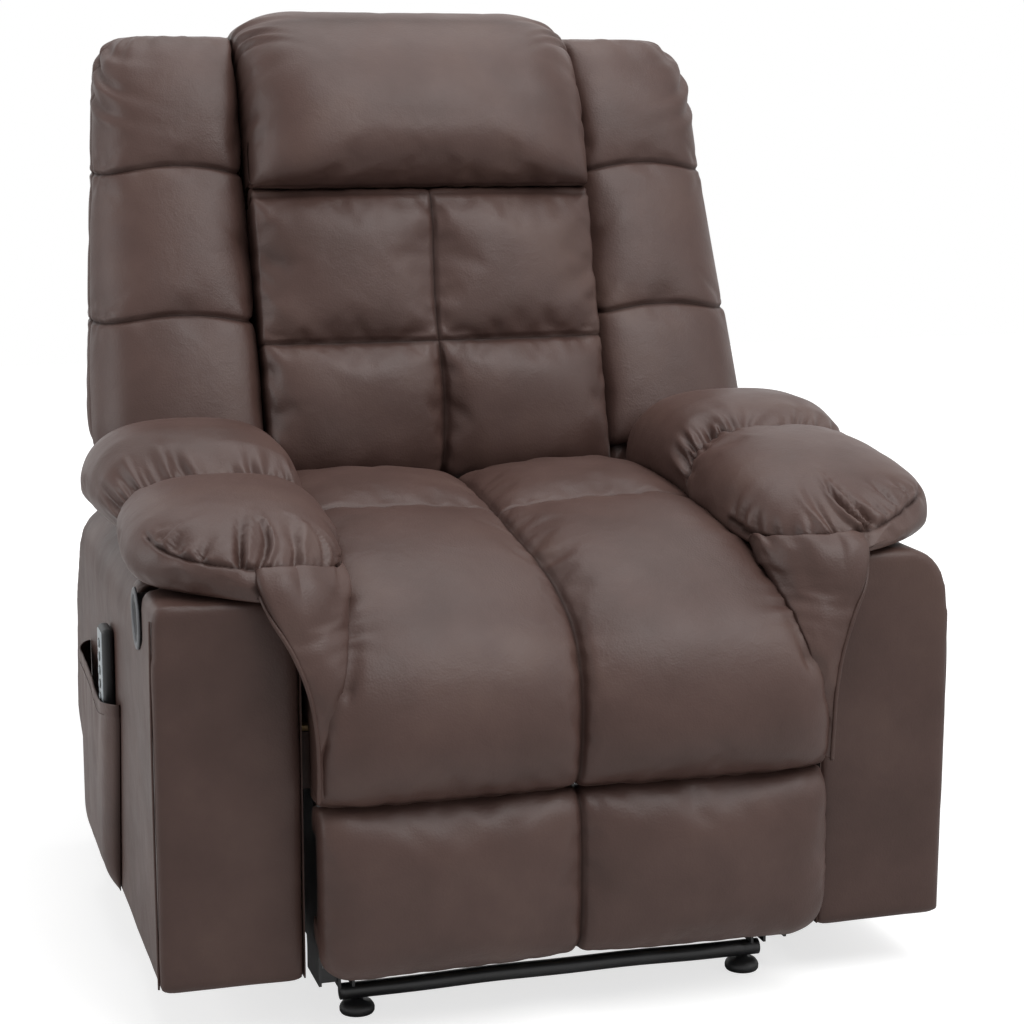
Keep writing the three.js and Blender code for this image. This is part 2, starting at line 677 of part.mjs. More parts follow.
function armCover() {
  return cut(armBlock(0, armInnerX, armBottomZ), armBlock(armWall, armInnerX - 1, armBottomZ - 20));
}
function armFrame() {
  const inside = armWall + gap;
  const cavity = armBlock(inside, armInnerX, armBottomZ);
  const far = panelOuterX - inside;
  const board = box(armInnerX, armInnerX + frameBoard, armFrontY, armRearY, armBottomZ, armTopZ);
  const post = (y0, y1, z0, z1) => box(armInnerX + frameBoard - 1, far, y0, y1, z0, z1);
  const postBottomZ = armBottomZ + 20;
  const rearPostBack = armRearY - armRearRun + 9;
  const posts = [
    post(armFrontY, armFrontY + inside + rearPostDepth - 1, postBottomZ, armTopZ),
    post(rearPostBack - rearPostDepth, rearPostBack, postBottomZ, armTopZ),
    post(armFrontY, rearPostBack, postBottomZ, postBottomZ + 30),
  ];
  return common(cavity, join(board, ...posts));
}

// Height of the arm pad's top, and how far its ends draw in, from its inner to its outer side.
const padOutline = [
  [0, 0.17], [0.01, 0.32], [0.045, 0.5], [0.11, 0.7], [0.2, 0.88], [0.32, 0.97], [0.5, 1],
  [0.7, 0.985], [0.86, 0.95], [0.95, 0.84], [1, 0.64], [1, 0.25], [0.985, 0], [0.5, 0], [0.06, 0],
  [0.02, 0.05],
];
const padStations = [
  { across: 0, top: 0.4, draw: 0.07 },
  { across: 0.06, top: 0.58, draw: 0.035 },
  { across: 0.2, top: 0.8, draw: 0.01 },
  { across: 0.37, top: 0.95, draw: 0 },
  { across: 0.55, top: 1, draw: 0 },
  { across: 0.74, top: 0.95, draw: 0.005 },
  { across: 0.89, top: 0.78, draw: 0.012 },
  { across: 0.97, top: 0.6, draw: 0.02 },
  { across: 1, top: 0.45, draw: 0.035 },
];
function armPad() {
  const frontY = armFrontY - padNose;
  const length = padRearY - frontY;
  const rings = padStations.map(({ top, draw }) => padOutline.map(([u, v]) => [
    frontY + length * (draw + u * (1 - 2 * draw)), padBottomZ + padHeight * v * top]));
  return loft(rings, (y, z, i) => [blend(padInnerX, padOuterX, padStations[i].across), y, z]);
}

const latchHole = acrossX(latchOutline(cupRim - 0.5), armInnerX + frameBoard + 1, panelOuterX + 1);
const cableHole = pinX(armInnerX - 1, armInnerX + frameBoard + 1, cableExit, cableRadius + 1);
add('arm_frame_right', armFrame(), plywood);
add('arm_frame_left', mirrorX(cut(armFrame(), cableHole)), plywood);
add('arm_cover_right', armCover(), leather);
add('arm_cover_left', mirrorX(cut(armCover(), latchHole)), leather);
addPair('arm_pad', armPad(), leather);
addPair('arm_gore', gore(0), leather);

// ---- Latch, in the left arm ---------------------------------------------------------------

const faceX = panelOuterX + gap;
const latchCup = cut(
  join(acrossX(latchOutline(0), faceX, faceX + latchFlange),
    acrossX(latchOutline(cupRim), faceX - latchDepth, faceX + 1)),
  acrossX(latchOutline(cupRim + 2), faceX - latchDepth + 2, faceX + latchFlange + 1));

const paddleOuterX = faceX + latchFlange - 0.5;
const latchAcross = turn([1, 0], -latchLean);
function latchPaddle() {
  const whole = acrossX(latchOutline(cupRim + 3), paddleOuterX - paddleThickness, paddleOuterX);
  const reach = latchHeight;
  const centre = plus([latchY, latchZ], [latchAcross[0] * 5, latchAcross[1] * 5]);
  const keep = [[-reach, -reach], [0, -reach], [0, reach], [-reach, reach]]
    .map((point) => plus(centre, turn(point, -latchLean)));
  return common(whole, acrossX(keep, armInnerX, panelOuterX + 20));
}
const cableStart = [latchY, latchZ - 6];
const releaseCable = rod([
  [faceX - latchDepth - 4 * gap, ...cableStart], [faceX - latchDepth - 22, cableStart[0], cableStart[1] - 6],
  [armInnerX + frameBoard + 40, latchY + 14, cableExit[1] + 34], [armInnerX + frameBoard + 12, ...cableExit],
  [armInnerX + frameBoard, ...cableExit], [armInnerX + gap, ...cableExit],
], cableRadius, 8, 24);
add('latch_bezel', mirrorX(latchCup), greyPlastic);
add('latch_paddle', mirrorX(latchPaddle()), blackPlastic);
add('release_cable', mirrorX(releaseCable), blackPlastic);

// ---- Side pocket and handset --------------------------------------------------------------

function sidePocket() {
  const outer = faceX - gap + pocketBulge;
  const edge = 7;
  const outline = [[pocketFrontY, pocketTopZ - 8], [pocketFrontY + 50, armBottomZ + 3],
    [pocketRearY, armBottomZ + 3], [pocketRearY, pocketTopZ], [pocketRearY - 60, pocketTopZ - 12],
    [pocketFrontY + 130, pocketMouthZ + 2],
    [pocketFrontY + 40, pocketMouthZ - 4]];
  const hollow = [[pocketFrontY + edge, pocketTopZ + 40], [pocketFrontY + edge, pocketTopZ - 8],
    [pocketFrontY + 50 + edge, armBottomZ + 3 + edge], [pocketRearY - edge, armBottomZ + 3 + edge],
    [pocketRearY - edge, pocketTopZ + 40]];
  return cut(acrossX(outline, faceX, outer), acrossX(hollow, faceX - 1, outer - pocketCloth));
}

const handsetRearY = handsetFrontY + handsetWidth;
const handsetInnerX = faceX + gap;
const handsetOuterX = handsetInnerX + handsetThickness;
const handsetBottomZ = handsetTopZ - handsetLength;
const buttonRadius = 4.4;
const buttonSeat = 2;             // how deep a button stands in its well
const buttonPlaces = Array.from({ length: buttonCount }, (_, i) => [
  (handsetFrontY + handsetRearY) / 2, handsetTopZ - 19 - i * 16]);
const buttonNames = ['power', 'heat', 'mode', 'strength', 'zone'];

function handsetShell() {
  const corner = 9;
  const cornerCut = corner * 0.3;
  const [y0, y1, z0, z1] = [handsetFrontY, handsetRearY, handsetBottomZ, handsetTopZ];
  const outline = [
    [y0 + corner, z0], [y1 - corner, z0], [y1 - cornerCut, z0 + cornerCut], [y1, z0 + corner],
    [y1, z1 - corner], [y1 - cornerCut, z1 - cornerCut], [y1 - corner, z1], [y0 + corner, z1],
    [y0 + cornerCut, z1 - cornerCut], [y0, z1 - corner], [y0, z0 + corner], [y0 + cornerCut, z0 + cornerCut],
  ];
  const stations = [[handsetInnerX, 2.5], [handsetInnerX + 3, 0], [handsetOuterX - 2, 0],
    [handsetOuterX, 1.5]];
  const body = cushion(outline, stations, (y, z, x) => [x, y, z]);
  const wellFloorX = handsetOuterX - buttonSeat - buttonTravel - gap;
  const wells = buttonPlaces.map((at) => pinX(wellFloorX, handsetOuterX + 1, at, buttonRadius + 0.4, 14));
  return cut(body, ...wells);
}

add('side_pocket', mirrorX(sidePocket()), leather);
add('handset_shell', mirrorX(handsetShell()), blackPlastic);
buttonPlaces.forEach((at, i) => {
  const cap = pinX(handsetOuterX - buttonSeat, handsetOuterX + buttonProud, at, buttonRadius, 14);
  add(`button_${buttonNames[i] ?? i + 1}`, mirrorX(cap), silverPlastic);
});

// ---- Back, drawn upright in front of and behind a plane that leans ------------------------

const planeAt = (z) => backPlaneY + backLean * (z - backPlaneZ);
function lean(geometry) {
  const offset = backPlaneY - backLean * backPlaneZ;
  const shear = new THREE.Matrix4().set(1, 0, 0, 0, 0, 1, backLean, offset, 0, 0, 1, 0, 0, 0, 0, 1);
  return geometry.clone().applyMatrix4(shear);
}

const panLowHalf = reclineLayer.inner - 4;
const panTopHalf = wingOuterTop - 14;
const panOutline = [
  [panLowHalf, backBottomZ], [panLowHalf, wingBottomZ - 8], [wingOuterBottom - 24, wingBottomZ + 6],
  [wingOuterBottom - 22, wingBottomZ + 120], [panTopHalf, wingTopZ - 60], [panTopHalf - 14, wingTopZ - 26],
  [panTopHalf - 44, wingTopZ - 10], [backCushionHalf, wingTopZ - 4], [backCushionHalf - 60, headTopZ - 16],
];
const bothSides = (outline) => [...outline, ...outline.map(([x, z]) => [-x, z]).reverse()];
const stileFront = 2 * gap + springWire;
const tabHeights = [448, 516];     // the bracket's two tabs
const tabHeight = 26;

function backPan() {
  const body = alongY(bothSides(panOutline), gap, backPanDepth);
  const hollow = alongY(inset(bothSides(panOutline), backPanWall), -1, backPanDepth - backPanWall);
  const slots = tabHeights.map((z) =>
    box(stileOuterX, panLowHalf + 1, stileFront + 3, stileFront + 29, z - 1, z + tabHeight + 1));
  return lean(cut(body, hollow, ...slots, ...slots.map(mirrorX)));
}

function reclineBracket() {
  const at = (depth, z) => [planeAt(z) + depth, z];
  const outline = [[pivotY - 19, pivotZ - 8], [pivotY, pivotZ - 20], [pivotY + 19, pivotZ - 8],
    at(stileFront + 28, pivotZ + 44),
    at(stileFront + 28, tabHeights[1] + tabHeight), at(stileFront + 4, tabHeights[1] + tabHeight),
    at(stileFront + 4, pivotZ + 54), [pivotY - 19, pivotZ + 12]];
  const plate = acrossX(outline, reclineLayer.inner, reclineLayer.outer);
  const tabs = tabHeights.map((z) => lean(box(stileOuterX + gap, reclineLayer.inner + 1,
    stileFront + 4, stileFront + 28, z, z + tabHeight)));
  return cut(join(plate, ...tabs), hole([pivotY, pivotZ], rivetRadius * 1.5 + 0.5));
}

const frameBottomZ = backBottomZ + backPanWall + gap;
const frameTopZ = wingTopZ - frameDrop;
const backRailHalf = stileInnerX - gap;
const backBoard = (x0, x1, z0, z1) => lean(box(x0, x1, stileFront, stileFront + stileDepth, z0, z1));
const backRail = (z) => backBoard(-backRailHalf, backRailHalf, z, z + stileWidth);

function backSprings() {
  const depth = gap + springWire / 2;
  const end = stileInnerX + stileWidth / 2;
  const heights = spread(backSpringCount, frameBottomZ + 110, frameTopZ - 60);
  const wires = heights.map((z) => zigzag(-end, end, z, (x, up) => [x, depth, up]));
  const ties = [-end / 2, end / 2].map((x) => rod([[x, depth, heights[0]], [x, depth, heights[1]],
    [x, depth, heights.at(-1)]], springWire / 2, 5, 2));
  return lean(join(...wires, ...ties));
}

// Thickness of the tufted cushion in front of the plane.
function backDepth(z) {
  return blend(backDepthLow, backDepthHigh, THREE.MathUtils.smoothstep(z, backPlaneZ - 20, backPlaneZ + 170));
}
const centreStations = [[0, 2], [0.2, 0], [0.8, 0], [0.94, 5], [1, 15]];
const placeCentre = (x, z, depth) => [x, -depth * backDepth(z), z];

function motorIn(z) {
  return {
    motor: pinY(-motorHeight, 0, [0, z], motorRadius),
    pocket: pinY(-motorHeight - gap, 1, [0, z], motorRadius + 1),
  };
}
const lumbarMotor = motorIn(seatTopZ + lumbarMotorLift);
const upperMotor = motorIn(headSeamZ - upperMotorDrop);

function backCushion() {
  const bottom = seatTopZ - 40;
  const outline = bothSides([[backCushionHalf - 16, bottom], [backCushionHalf, bottom + 40],
    [backCushionHalf, (bottom + headSeamZ) / 2], [backCushionHalf, headSeamZ - gap]]);
  return lean(cut(cushion(outline, centreStations, placeCentre), lumbarMotor.pocket, upperMotor.pocket));
}

// The head cushion from its seam over the rolled top, as depth and height; it is full at its crown.
function headOutline(full) {
  const roundness = 2 / 2.6;
  const depth = blend(headSideDepth, headDepth, full);
  const seamDepth = blend(headSideDepth, headSeamDepth, full);
  const topZ = headTopZ - (1 - full) * headCornerDrop;
  const waistZ = blend(headSeamZ + 41, headTopZ - 125, full);
  const outline = [[0, headSeamZ], [seamDepth, headSeamZ], [blend(seamDepth, depth, 0.66), headSeamZ + 21]];
  for (let step = 0; step <= 5; step++) {
    const angle = Math.PI / 2 * step / 5;
    outline.push([depth * Math.cos(angle) ** roundness,
      waistZ + (topZ - waistZ) * Math.sin(angle) ** roundness]);
  }
  return outline;
}
// How full the head cushion is, from its middle to its side.
const headFullness = [[0, 1], [backCushionHalf - 100, 1], [backCushionHalf - 52, 0.87],
  [backCushionHalf - 22, 0.56], [backCushionHalf - 6, 0.22], [backCushionHalf, 0]];
function headCushion() {
  const stations = bothWays(headFullness);
  const outlines = stations.map(([, full]) => headOutline(full));
  return lean(loft(outlines, (depth, z, i) => [stations[i][0], -depth, z]));
}

// One ring of a wing at each height: its depth, how far it draws in, and how much its front hangs.
const wingRings = [
  { z: wingBottomZ, depth: 0.8, draw: 12, drop: 0.34 },
  { z: wingBottomZ + 14, depth: 0.96, draw: 2, drop: 0.3 },
  { z: wingBottomZ + 60, depth: 1, draw: 0, drop: 0.12 },
  { z: headSeamZ - 170, depth: 1, draw: 0 },
  { z: headSeamZ, depth: 1, draw: 0 },
  { z: wingTopZ - 100, depth: 0.86, draw: 0 },
  { z: wingTopZ - 40, depth: 0.6, draw: 3 },
  { z: wingTopZ - 12, depth: 0.45, draw: 9 },
  { z: wingTopZ, depth: 0.3, draw: 24 },
];
function wing() {
  const innerX = backCushionHalf + gap;
  const rings = wingRings.map(({ z, depth, draw }) => {
    const outerX = blend(wingOuterBottom, wingOuterTop, (z - wingBottomZ) / (wingTopZ - wingBottomZ)) - draw;
    const inner = innerX + draw / 2;
    const front = (share) => -depth * blend(wingDepthInner, wingDepthOuter, share);
    const across = (share) => blend(inner, outerX, share);
    return [[inner, 0], [inner, front(0) * 0.7], [across(0.04), front(0) * 0.93],
      [across(0.18), front(0.1) - 8 * depth], [across(0.45), front(0.4) - 12 * depth],
      [across(0.75), front(0.8) - 10 * depth], [across(0.93), front(1)], [outerX, front(1) * 0.7],
      [outerX, 0]];
  });
  return lean(loft(rings, (x, y, i) => [x, y, wingRings[i].z + y * (wingRings[i].drop ?? 0)]));
}

add('back_pan', backPan(), leather);
addPair('recline_bracket', reclineBracket(), blackSteel);
addPair('back_stile', backBoard(stileInnerX, stileOuterX, frameBottomZ, frameTopZ), plywood);
add('back_rail_bottom', backRail(frameBottomZ + 14), plywood);
add('back_rail_top', backRail(frameTopZ - stileWidth - 14), plywood);
add('back_springs', backSprings(), springSteel);
add('back_cushion', backCushion(), leather);
add('head_cushion', headCushion(), leather);
addPair('wing', wing(), leather);
add('back_motor_lumbar', lean(lumbarMotor.motor), blackPlastic);
add('back_motor_upper', lean(upperMotor.motor), blackPlastic);

// ---- Rear stretcher and control box -------------------------------------------------------

const stretcherY = armRearY - stretcherInset;
const stretcherZ = armBottomZ + stretcherLift;
const stretcherBackY = stretcherY + railThickness;
add('rear_stretcher',
  box(-railOuterX, railOuterX, stretcherY, stretcherBackY, stretcherZ, stretcherZ + stretcherHeight),
  plywood);

function controlBox() {
  const front = stretcherBackY + gap;
  const back = front + boxDepth;
  const shell = box(-boxLength / 2, boxLength / 2, front, back, stretcherZ, stretcherZ + boxHeight);
  const inletDepth = 12;
  const inletRadius = 4.5;
  const inletAt = [boxLength / 4, stretcherZ + boxHeight / 2];
  return cut(shell, pinY(back - inletDepth, back + 1, inletAt, inletRadius));
}
add('control_box', controlBox(), blackPlastic);

export default chair;
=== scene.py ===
import json
import math

import bmesh
import bpy
import numpy as np
from mathutils import Matrix, Vector


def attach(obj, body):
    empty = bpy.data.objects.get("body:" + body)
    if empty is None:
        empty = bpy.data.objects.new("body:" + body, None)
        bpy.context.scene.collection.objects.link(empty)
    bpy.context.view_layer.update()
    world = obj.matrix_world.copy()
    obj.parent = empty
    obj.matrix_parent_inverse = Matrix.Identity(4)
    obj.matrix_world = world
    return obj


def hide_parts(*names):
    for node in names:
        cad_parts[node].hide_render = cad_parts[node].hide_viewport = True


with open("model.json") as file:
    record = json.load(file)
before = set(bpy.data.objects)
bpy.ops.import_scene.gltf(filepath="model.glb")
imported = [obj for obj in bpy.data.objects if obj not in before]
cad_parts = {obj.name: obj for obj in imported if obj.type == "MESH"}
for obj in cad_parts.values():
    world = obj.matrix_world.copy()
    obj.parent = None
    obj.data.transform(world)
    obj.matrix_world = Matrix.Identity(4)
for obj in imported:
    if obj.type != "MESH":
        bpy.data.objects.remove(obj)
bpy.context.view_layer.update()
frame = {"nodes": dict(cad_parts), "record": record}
nodes = frame["nodes"]


# small helpers for curves and meshes

mirror = {1: np.array([1, 1, 1]), -1: np.array([-1, 1, 1])}  # side 1 is the right one, seen from the front


def sideWord(side):
    return "Right" if side > 0 else "Left"


def onSide(facts, side):  # the same facts for the node of that side
    return {**facts, "node": f"{facts['node']}_{sideWord(side).lower()}"}


def deselectAll():
    for thing in bpy.context.selected_objects:
        thing.select_set(False)


def pickOnly(piece):
    deselectAll()
    piece.select_set(True)
    bpy.context.view_layer.objects.active = piece


def applyModifier(piece, kind, settings):
    pickOnly(piece)
    modifier = piece.modifiers.new(kind.lower(), kind)
    for key, value in settings.items():
        setattr(modifier, key, value)
    bpy.ops.object.modifier_apply(modifier=modifier.name)


def alongCurve(points, shares):  # smooth curve through the points, by share of its length
    points = np.array(points, float)
    steps = np.r_[0, np.cumsum(np.linalg.norm(np.diff(points, axis=0), axis=1))]
    slopes = np.gradient(points, steps, axis=0)
    at = np.clip(np.asarray(shares, float), 0, 1) * steps[-1]
    first = np.clip(np.searchsorted(steps, at, side="right") - 1, 0, len(points) - 2)
    span = (steps[first + 1] - steps[first])[..., None]
    t = (at - steps[first])[..., None] / span
    a, b = points[first], points[first + 1]
    return ((2 * t**3 - 3 * t**2 + 1) * a + (t**3 - 2 * t**2 + t) * span * slopes[first]
            + (3 * t**2 - 2 * t**3) * b + (t**3 - t**2) * span * slopes[first + 1])


def curveLength(points):
    return float(np.linalg.norm(np.diff(np.array(points, float), axis=0), axis=1).sum())


def shareOf(points, point):  # where along the curve the given point lies
    fine = np.linspace(0, 1, 801)
    away = np.linalg.norm(alongCurve(points, fine) - np.array(point, float), axis=1)
    return float(fine[away.argmin()])


def nearest(*distances):
    return np.minimum.reduce(distances)


def hump(distance, width):
    return np.exp(-(distance / width) ** 2)


def smoothStep(value, low, high):
    t = np.clip((value - low) / (high - low), 0, 1)
    return t * t * (3 - 2 * t)


def bulge(distance, radius, power=0.62):  # rises steeply from a seam, then levels out
    t = np.clip(distance / radius, 0, 1)
    return (1 - (1 - t) ** 2) ** power


def pillow(distance, radius, pinch=0.32):  # a gentle crown with a narrow pinch along its seam
    return pinch * bulge(distance, 0.014, 0.7) + (1 - pinch) * bulge(distance, radius, 0.85)


def panelSteps(stops, length, step):  # places along one direction, closer together near each seam
    places = [stops[0]]
    for low, high in zip(stops, stops[1:]):
        count = max(6, int(round((high - low) * length / step)))
        even = np.arange(1, count + 1) / count
        eased = 0.5 - 0.5 * np.cos(np.pi * even)
        places += list(low + (high - low) * (0.5 * even + 0.5 * eased))
    return np.array(places)


def panelGrid(acrossStops, width, alongStops, length, step):
    return np.meshgrid(panelSteps(acrossStops, width, step), panelSteps(alongStops, length, step))


def gridNormals(grid, outwards=(0, -1, 0.4)):  # the hint says which side of the grid is the outside
    normal = np.cross(np.gradient(grid, axis=1), np.gradient(grid, axis=0))
    normal = normal / np.maximum(np.linalg.norm(normal, axis=2, keepdims=True), 1e-9)
    return normal * np.sign((normal @ np.array(outwards, float)).sum())


def crossways(line):  # the line's direction and two directions across it, at each of its places
    ahead = np.gradient(line, axis=0)
    ahead /= np.linalg.norm(ahead, axis=1, keepdims=True)
    first = np.cross(ahead, [0.23, 0.41, 0.88])
    first /= np.linalg.norm(first, axis=1, keepdims=True)
    return ahead, first, np.cross(ahead, first)


def addObject(name, data):
    thing = bpy.data.objects.new(name, data)
    bpy.context.scene.collection.objects.link(thing)
    return thing


def faceOutwards(piece):
    shape = bmesh.new()
    shape.from_mesh(piece.data)
    bmesh.ops.remove_doubles(shape, verts=shape.verts, dist=1e-6)
    bmesh.ops.recalc_face_normals(shape, faces=shape.faces)
    shape.to_mesh(piece.data)
    shape.free()


def newPiece(name, points, faces, smooth=True):
    mesh = bpy.data.meshes.new(name)
    mesh.from_pydata([tuple(p) for p in np.asarray(points).reshape(-1, 3)], [], [[int(i) for i in f] for f in faces])
    mesh.update()
    for face in mesh.polygons:
        face.use_smooth = smooth
    piece = addObject(name, mesh)
    faceOutwards(piece)
    return piece


def readVectors(piece, kind="co"):
    found = np.empty(len(piece.data.vertices) * 3)
    piece.data.vertices.foreach_get(kind, found)
    return found.reshape(-1, 3)


def pushOut(piece, distance):  # along the normals
    places = readVectors(piece) + readVectors(piece, "normal") * distance[:, None]
    writePlaces(piece, places)


def writePlaces(piece, places):
    piece.data.vertices.foreach_set("co", np.asarray(places, float).ravel())
    piece.data.update()


def storeValues(piece, name, values):
    layer = piece.data.attributes.new(name, "FLOAT", "POINT")
    layer.data.foreach_set("value", np.asarray(values, np.float32).ravel())


def takeValues(piece, name):
    values = np.empty(len(piece.data.vertices), np.float32)
    piece.data.attributes[name].data.foreach_get("value", values)
    piece.data.attributes.remove(piece.data.attributes[name])
    return values.astype(float)


def paintShade(piece, values):  # painted shade mask: 0 in the seams, where the leather is painted dark and less glossy, 1 on the crowns; read by the leather
    storeValues(piece, "crown", np.clip(values, 0, 1) * np.ones(len(piece.data.vertices)))


def subdivideOnce(piece):
    applyModifier(piece, "SUBSURF", {"levels": 1, "render_levels": 1})


def settle(piece, body, material, node=None):
    piece.data.materials.append(material)
    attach(piece, body)
    if node:
        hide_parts(node)
    return piece


# gathers: creases that run away from a seam and fade

def folds(start, end, spacing, width, reach, depth, slant=0):  # start to end is along the seam
    return {"from": start, "to": end, "spacing": spacing, "width": width, "reach": reach, "depth": depth,
            "slant": slant}


def gatherDepth(along, away, facts, seed):
    chance = np.random.default_rng(seed)
    total = np.zeros_like(along)
    for place in np.arange(facts["from"], facts["to"], facts["spacing"]):
        centre = place + facts["spacing"] * chance.uniform(-0.35, 0.35)
        width = facts["width"] * chance.uniform(0.7, 1.3)
        reach = facts["reach"] * chance.uniform(0.4, 1.25)
        depth = facts["depth"] * chance.uniform(0.25, 1.2)
        slant = facts["slant"] + chance.uniform(-0.25, 0.25)
        middle = centre + slant * away
        spread = width * (1 + 1.1 * away / reach)
        fade = hump(away, reach) * (0.35 + 0.65 * smoothStep(away, 0, 0.3 * reach))
        total += depth * fade * (0.55 * hump(along - middle - 1.6 * spread, spread) - hump(along - middle, spread))
    return total


def foldRow(away, fade, rows, lead, width):  # single folds with a ridge beside each: place, slant and depth
    return sum(depth * fade * (0.6 * hump(away(place, slant) - lead, width) - hump(away(place, slant), width))
               for place, slant, depth in rows)


def softNoise(places, size, seed):  # slow random swell, smooth between lattice points
    lattice = np.random.default_rng(seed).uniform(-1, 1, (24, 24, 24))
    at = places / size + 500
    cell = np.floor(at).astype(int)
    t = smoothStep(at - cell, 0, 1)
    total = np.zeros(len(places))
    for corner in range(8):
        step = np.array([corner & 1, corner >> 1 & 1, corner >> 2 & 1])
        weight = np.prod(np.where(step, t, 1 - t), axis=1)
        total += weight * lattice[tuple(((cell + step) % 24).T)]
    return total


# closed pieces from grids: a panel's face is closed behind by the same grid moved inwards

def quads(index):  # the corners of each cell of a grid, row by row
    return np.stack([index[:-1, :-1], index[:-1, 1:], index[1:, 1:], index[1:, :-1]], axis=-1).reshape(-1, 4)


def behind(face, depth):
    inwards = gridNormals(face) * np.array([0, 1, 1])
    return face - depth * inwards / np.maximum(np.linalg.norm(inwards, axis=2, keepdims=True), 1e-9)


def closedPanel(name, face, back):
    rows, columns = face.shape[:2]
    count = rows * columns
    index = np.arange(count).reshape(rows, columns)
    front = quads(index)
    faces = list(np.stack([front, front[:, [0, 3, 2, 1]] + count], axis=1).reshape(-1, 4))
    rim = [*index[0], *index[1:, -1], *index[-1, -2::-1], *index[-2:0:-1, 0]]
    faces += [(b, a, a + count, b + count) for a, b in zip(rim, rim[1:] + rim[:1])]
    return newPiece(name, np.concatenate([face.reshape(-1, 3), back.reshape(-1, 3)]), faces)


def closedLoft(name, rings):  # rings joined into a tube; both ends are closed by a fan
    rows, columns = rings.shape[:2]
    count = rows * columns
    index = np.arange(count).reshape(rows, columns)
    index = np.c_[index, index[:, :1]]
    faces = list(quads(index))
    for c in range(columns):
        faces += [(count, index[0, c + 1], index[0, c]), (count + 1, index[-1, c], index[-1, c + 1])]
    return newPiece(name, [*rings.reshape(-1, 3), rings[0].mean(axis=0), rings[-1].mean(axis=0)], faces)


clothWay = {"pressure": 4.0, "frames": 20, "quality": 5, "tension": 15.0, "bending": 0.6}


def plumpUp(piece, held, cap, growth):  # air pressure and a little spare leather swell the pad
    before = readVectors(piece)
    group = piece.vertex_groups.new(name="held")
    group.add([int(i) for i in np.nonzero(held)[0]], 1.0, "REPLACE")
    cloth = piece.modifiers.new("plump", "CLOTH")
    way = cloth.settings
    way.quality = clothWay["quality"]
    way.use_pressure = True
    way.uniform_pressure_force = clothWay["pressure"]
    way.effector_weights.gravity = 0
    way.tension_stiffness = way.compression_stiffness = clothWay["tension"]
    way.bending_stiffness = clothWay["bending"]
    way.shrink_min = -growth
    way.vertex_group_mass = "held"
    way.pin_stiffness = 1
    cloth.point_cache.frame_start, cloth.point_cache.frame_end = 1, clothWay["frames"]
    scene = bpy.context.scene
    for number in range(1, clothWay["frames"] + 1):
        scene.frame_set(number)
    pickOnly(piece)
    bpy.ops.object.modifier_apply(modifier=cloth.name)
    scene.frame_set(1)
    moved = readVectors(piece) - before
    far = np.linalg.norm(moved, axis=1, keepdims=True)
    writePlaces(piece, before + moved * np.minimum(1, cap / np.maximum(far, 1e-9)))
    piece.vertex_groups.clear()


def coverWith(piece, facts, material):
    piece.data.materials.clear()
    settle(piece, facts["body"], material, facts["node"])
    return piece


def dressPad(piece, facts, held, across, along, pattern):  # held is true where the leather is sewn down
    spare = len(piece.data.vertices) - across.size
    repeats = 2 if spare == across.size else 1
    fill = [0] * (spare if repeats == 1 else 0)
    storeValues(piece, "across", np.r_[np.tile(across.ravel(), repeats), fill])
    storeValues(piece, "along", np.r_[np.tile(along.ravel(), repeats), fill])
    storeValues(piece, "front", np.r_[np.ones(across.size), np.zeros(spare)])
    plumpUp(piece, np.r_[held.ravel(), np.ones(spare, bool)], facts["cap"], facts["growth"])
    subdivideOnce(piece)
    u, v, front = [takeValues(piece, name) for name in ("across", "along", "front")]
    # the pattern gives the folds and the painted shade mask, which is dark along the seams
    depth, crown = pattern(u, v, readVectors(piece))
    pushOut(piece, depth * front)
    paintShade(piece, crown * front)
    return coverWith(piece, facts, leather)


# the seat: two fields, a cross seam over the rear quarter and a front that falls to the footrest

seat = {
    # (Y, Z) of the middle seam and of the outer edges, from the rear over the top to the lower hem
    "seamLine": [(0.094, 0.440), (0.092, 0.470), (0.072, 0.495), (0.030, 0.503), (-0.02, 0.503),
                 (-0.08, 0.499), (-0.137, 0.494), (-0.217, 0.483), (-0.293, 0.468), (-0.359, 0.443),
                 (-0.401, 0.418), (-0.429, 0.383), (-0.442, 0.343), (-0.446, 0.301), (-0.443, 0.272),
                 (-0.432, 0.2605), (-0.408, 0.2595)],
    "edgeLine": [(0.094, 0.415), (0.092, 0.440), (0.072, 0.458), (0.030, 0.464), (-0.02, 0.465),
                 (-0.08, 0.463), (-0.137, 0.460), (-0.217, 0.453), (-0.293, 0.444), (-0.359, 0.428),
                 (-0.401, 0.408), (-0.428, 0.378), (-0.440, 0.342), (-0.444, 0.301), (-0.441, 0.273),
                 (-0.430, 0.2605), (-0.408, 0.2595)],
    "underLine": [(0.093, 0.3380), (-0.10, 0.3380), (-0.25, 0.3380), (-0.355, 0.3380), (-0.385, 0.3300),
                  (-0.3885, 0.300), (-0.394, 0.2630)],
    "motorRoom": {"halfX": 0.046, "y": -0.140, "halfY": 0.050, "height": 0.029},
    "crossSeam": (-0.137, 0.494), "half": 0.281, "crown": 0.026, "step": 0.0075,
    "body": "chair_base", "node": "seat_cushion", "fill": 0.85, "cap": 0.022, "growth": 0.016,
}


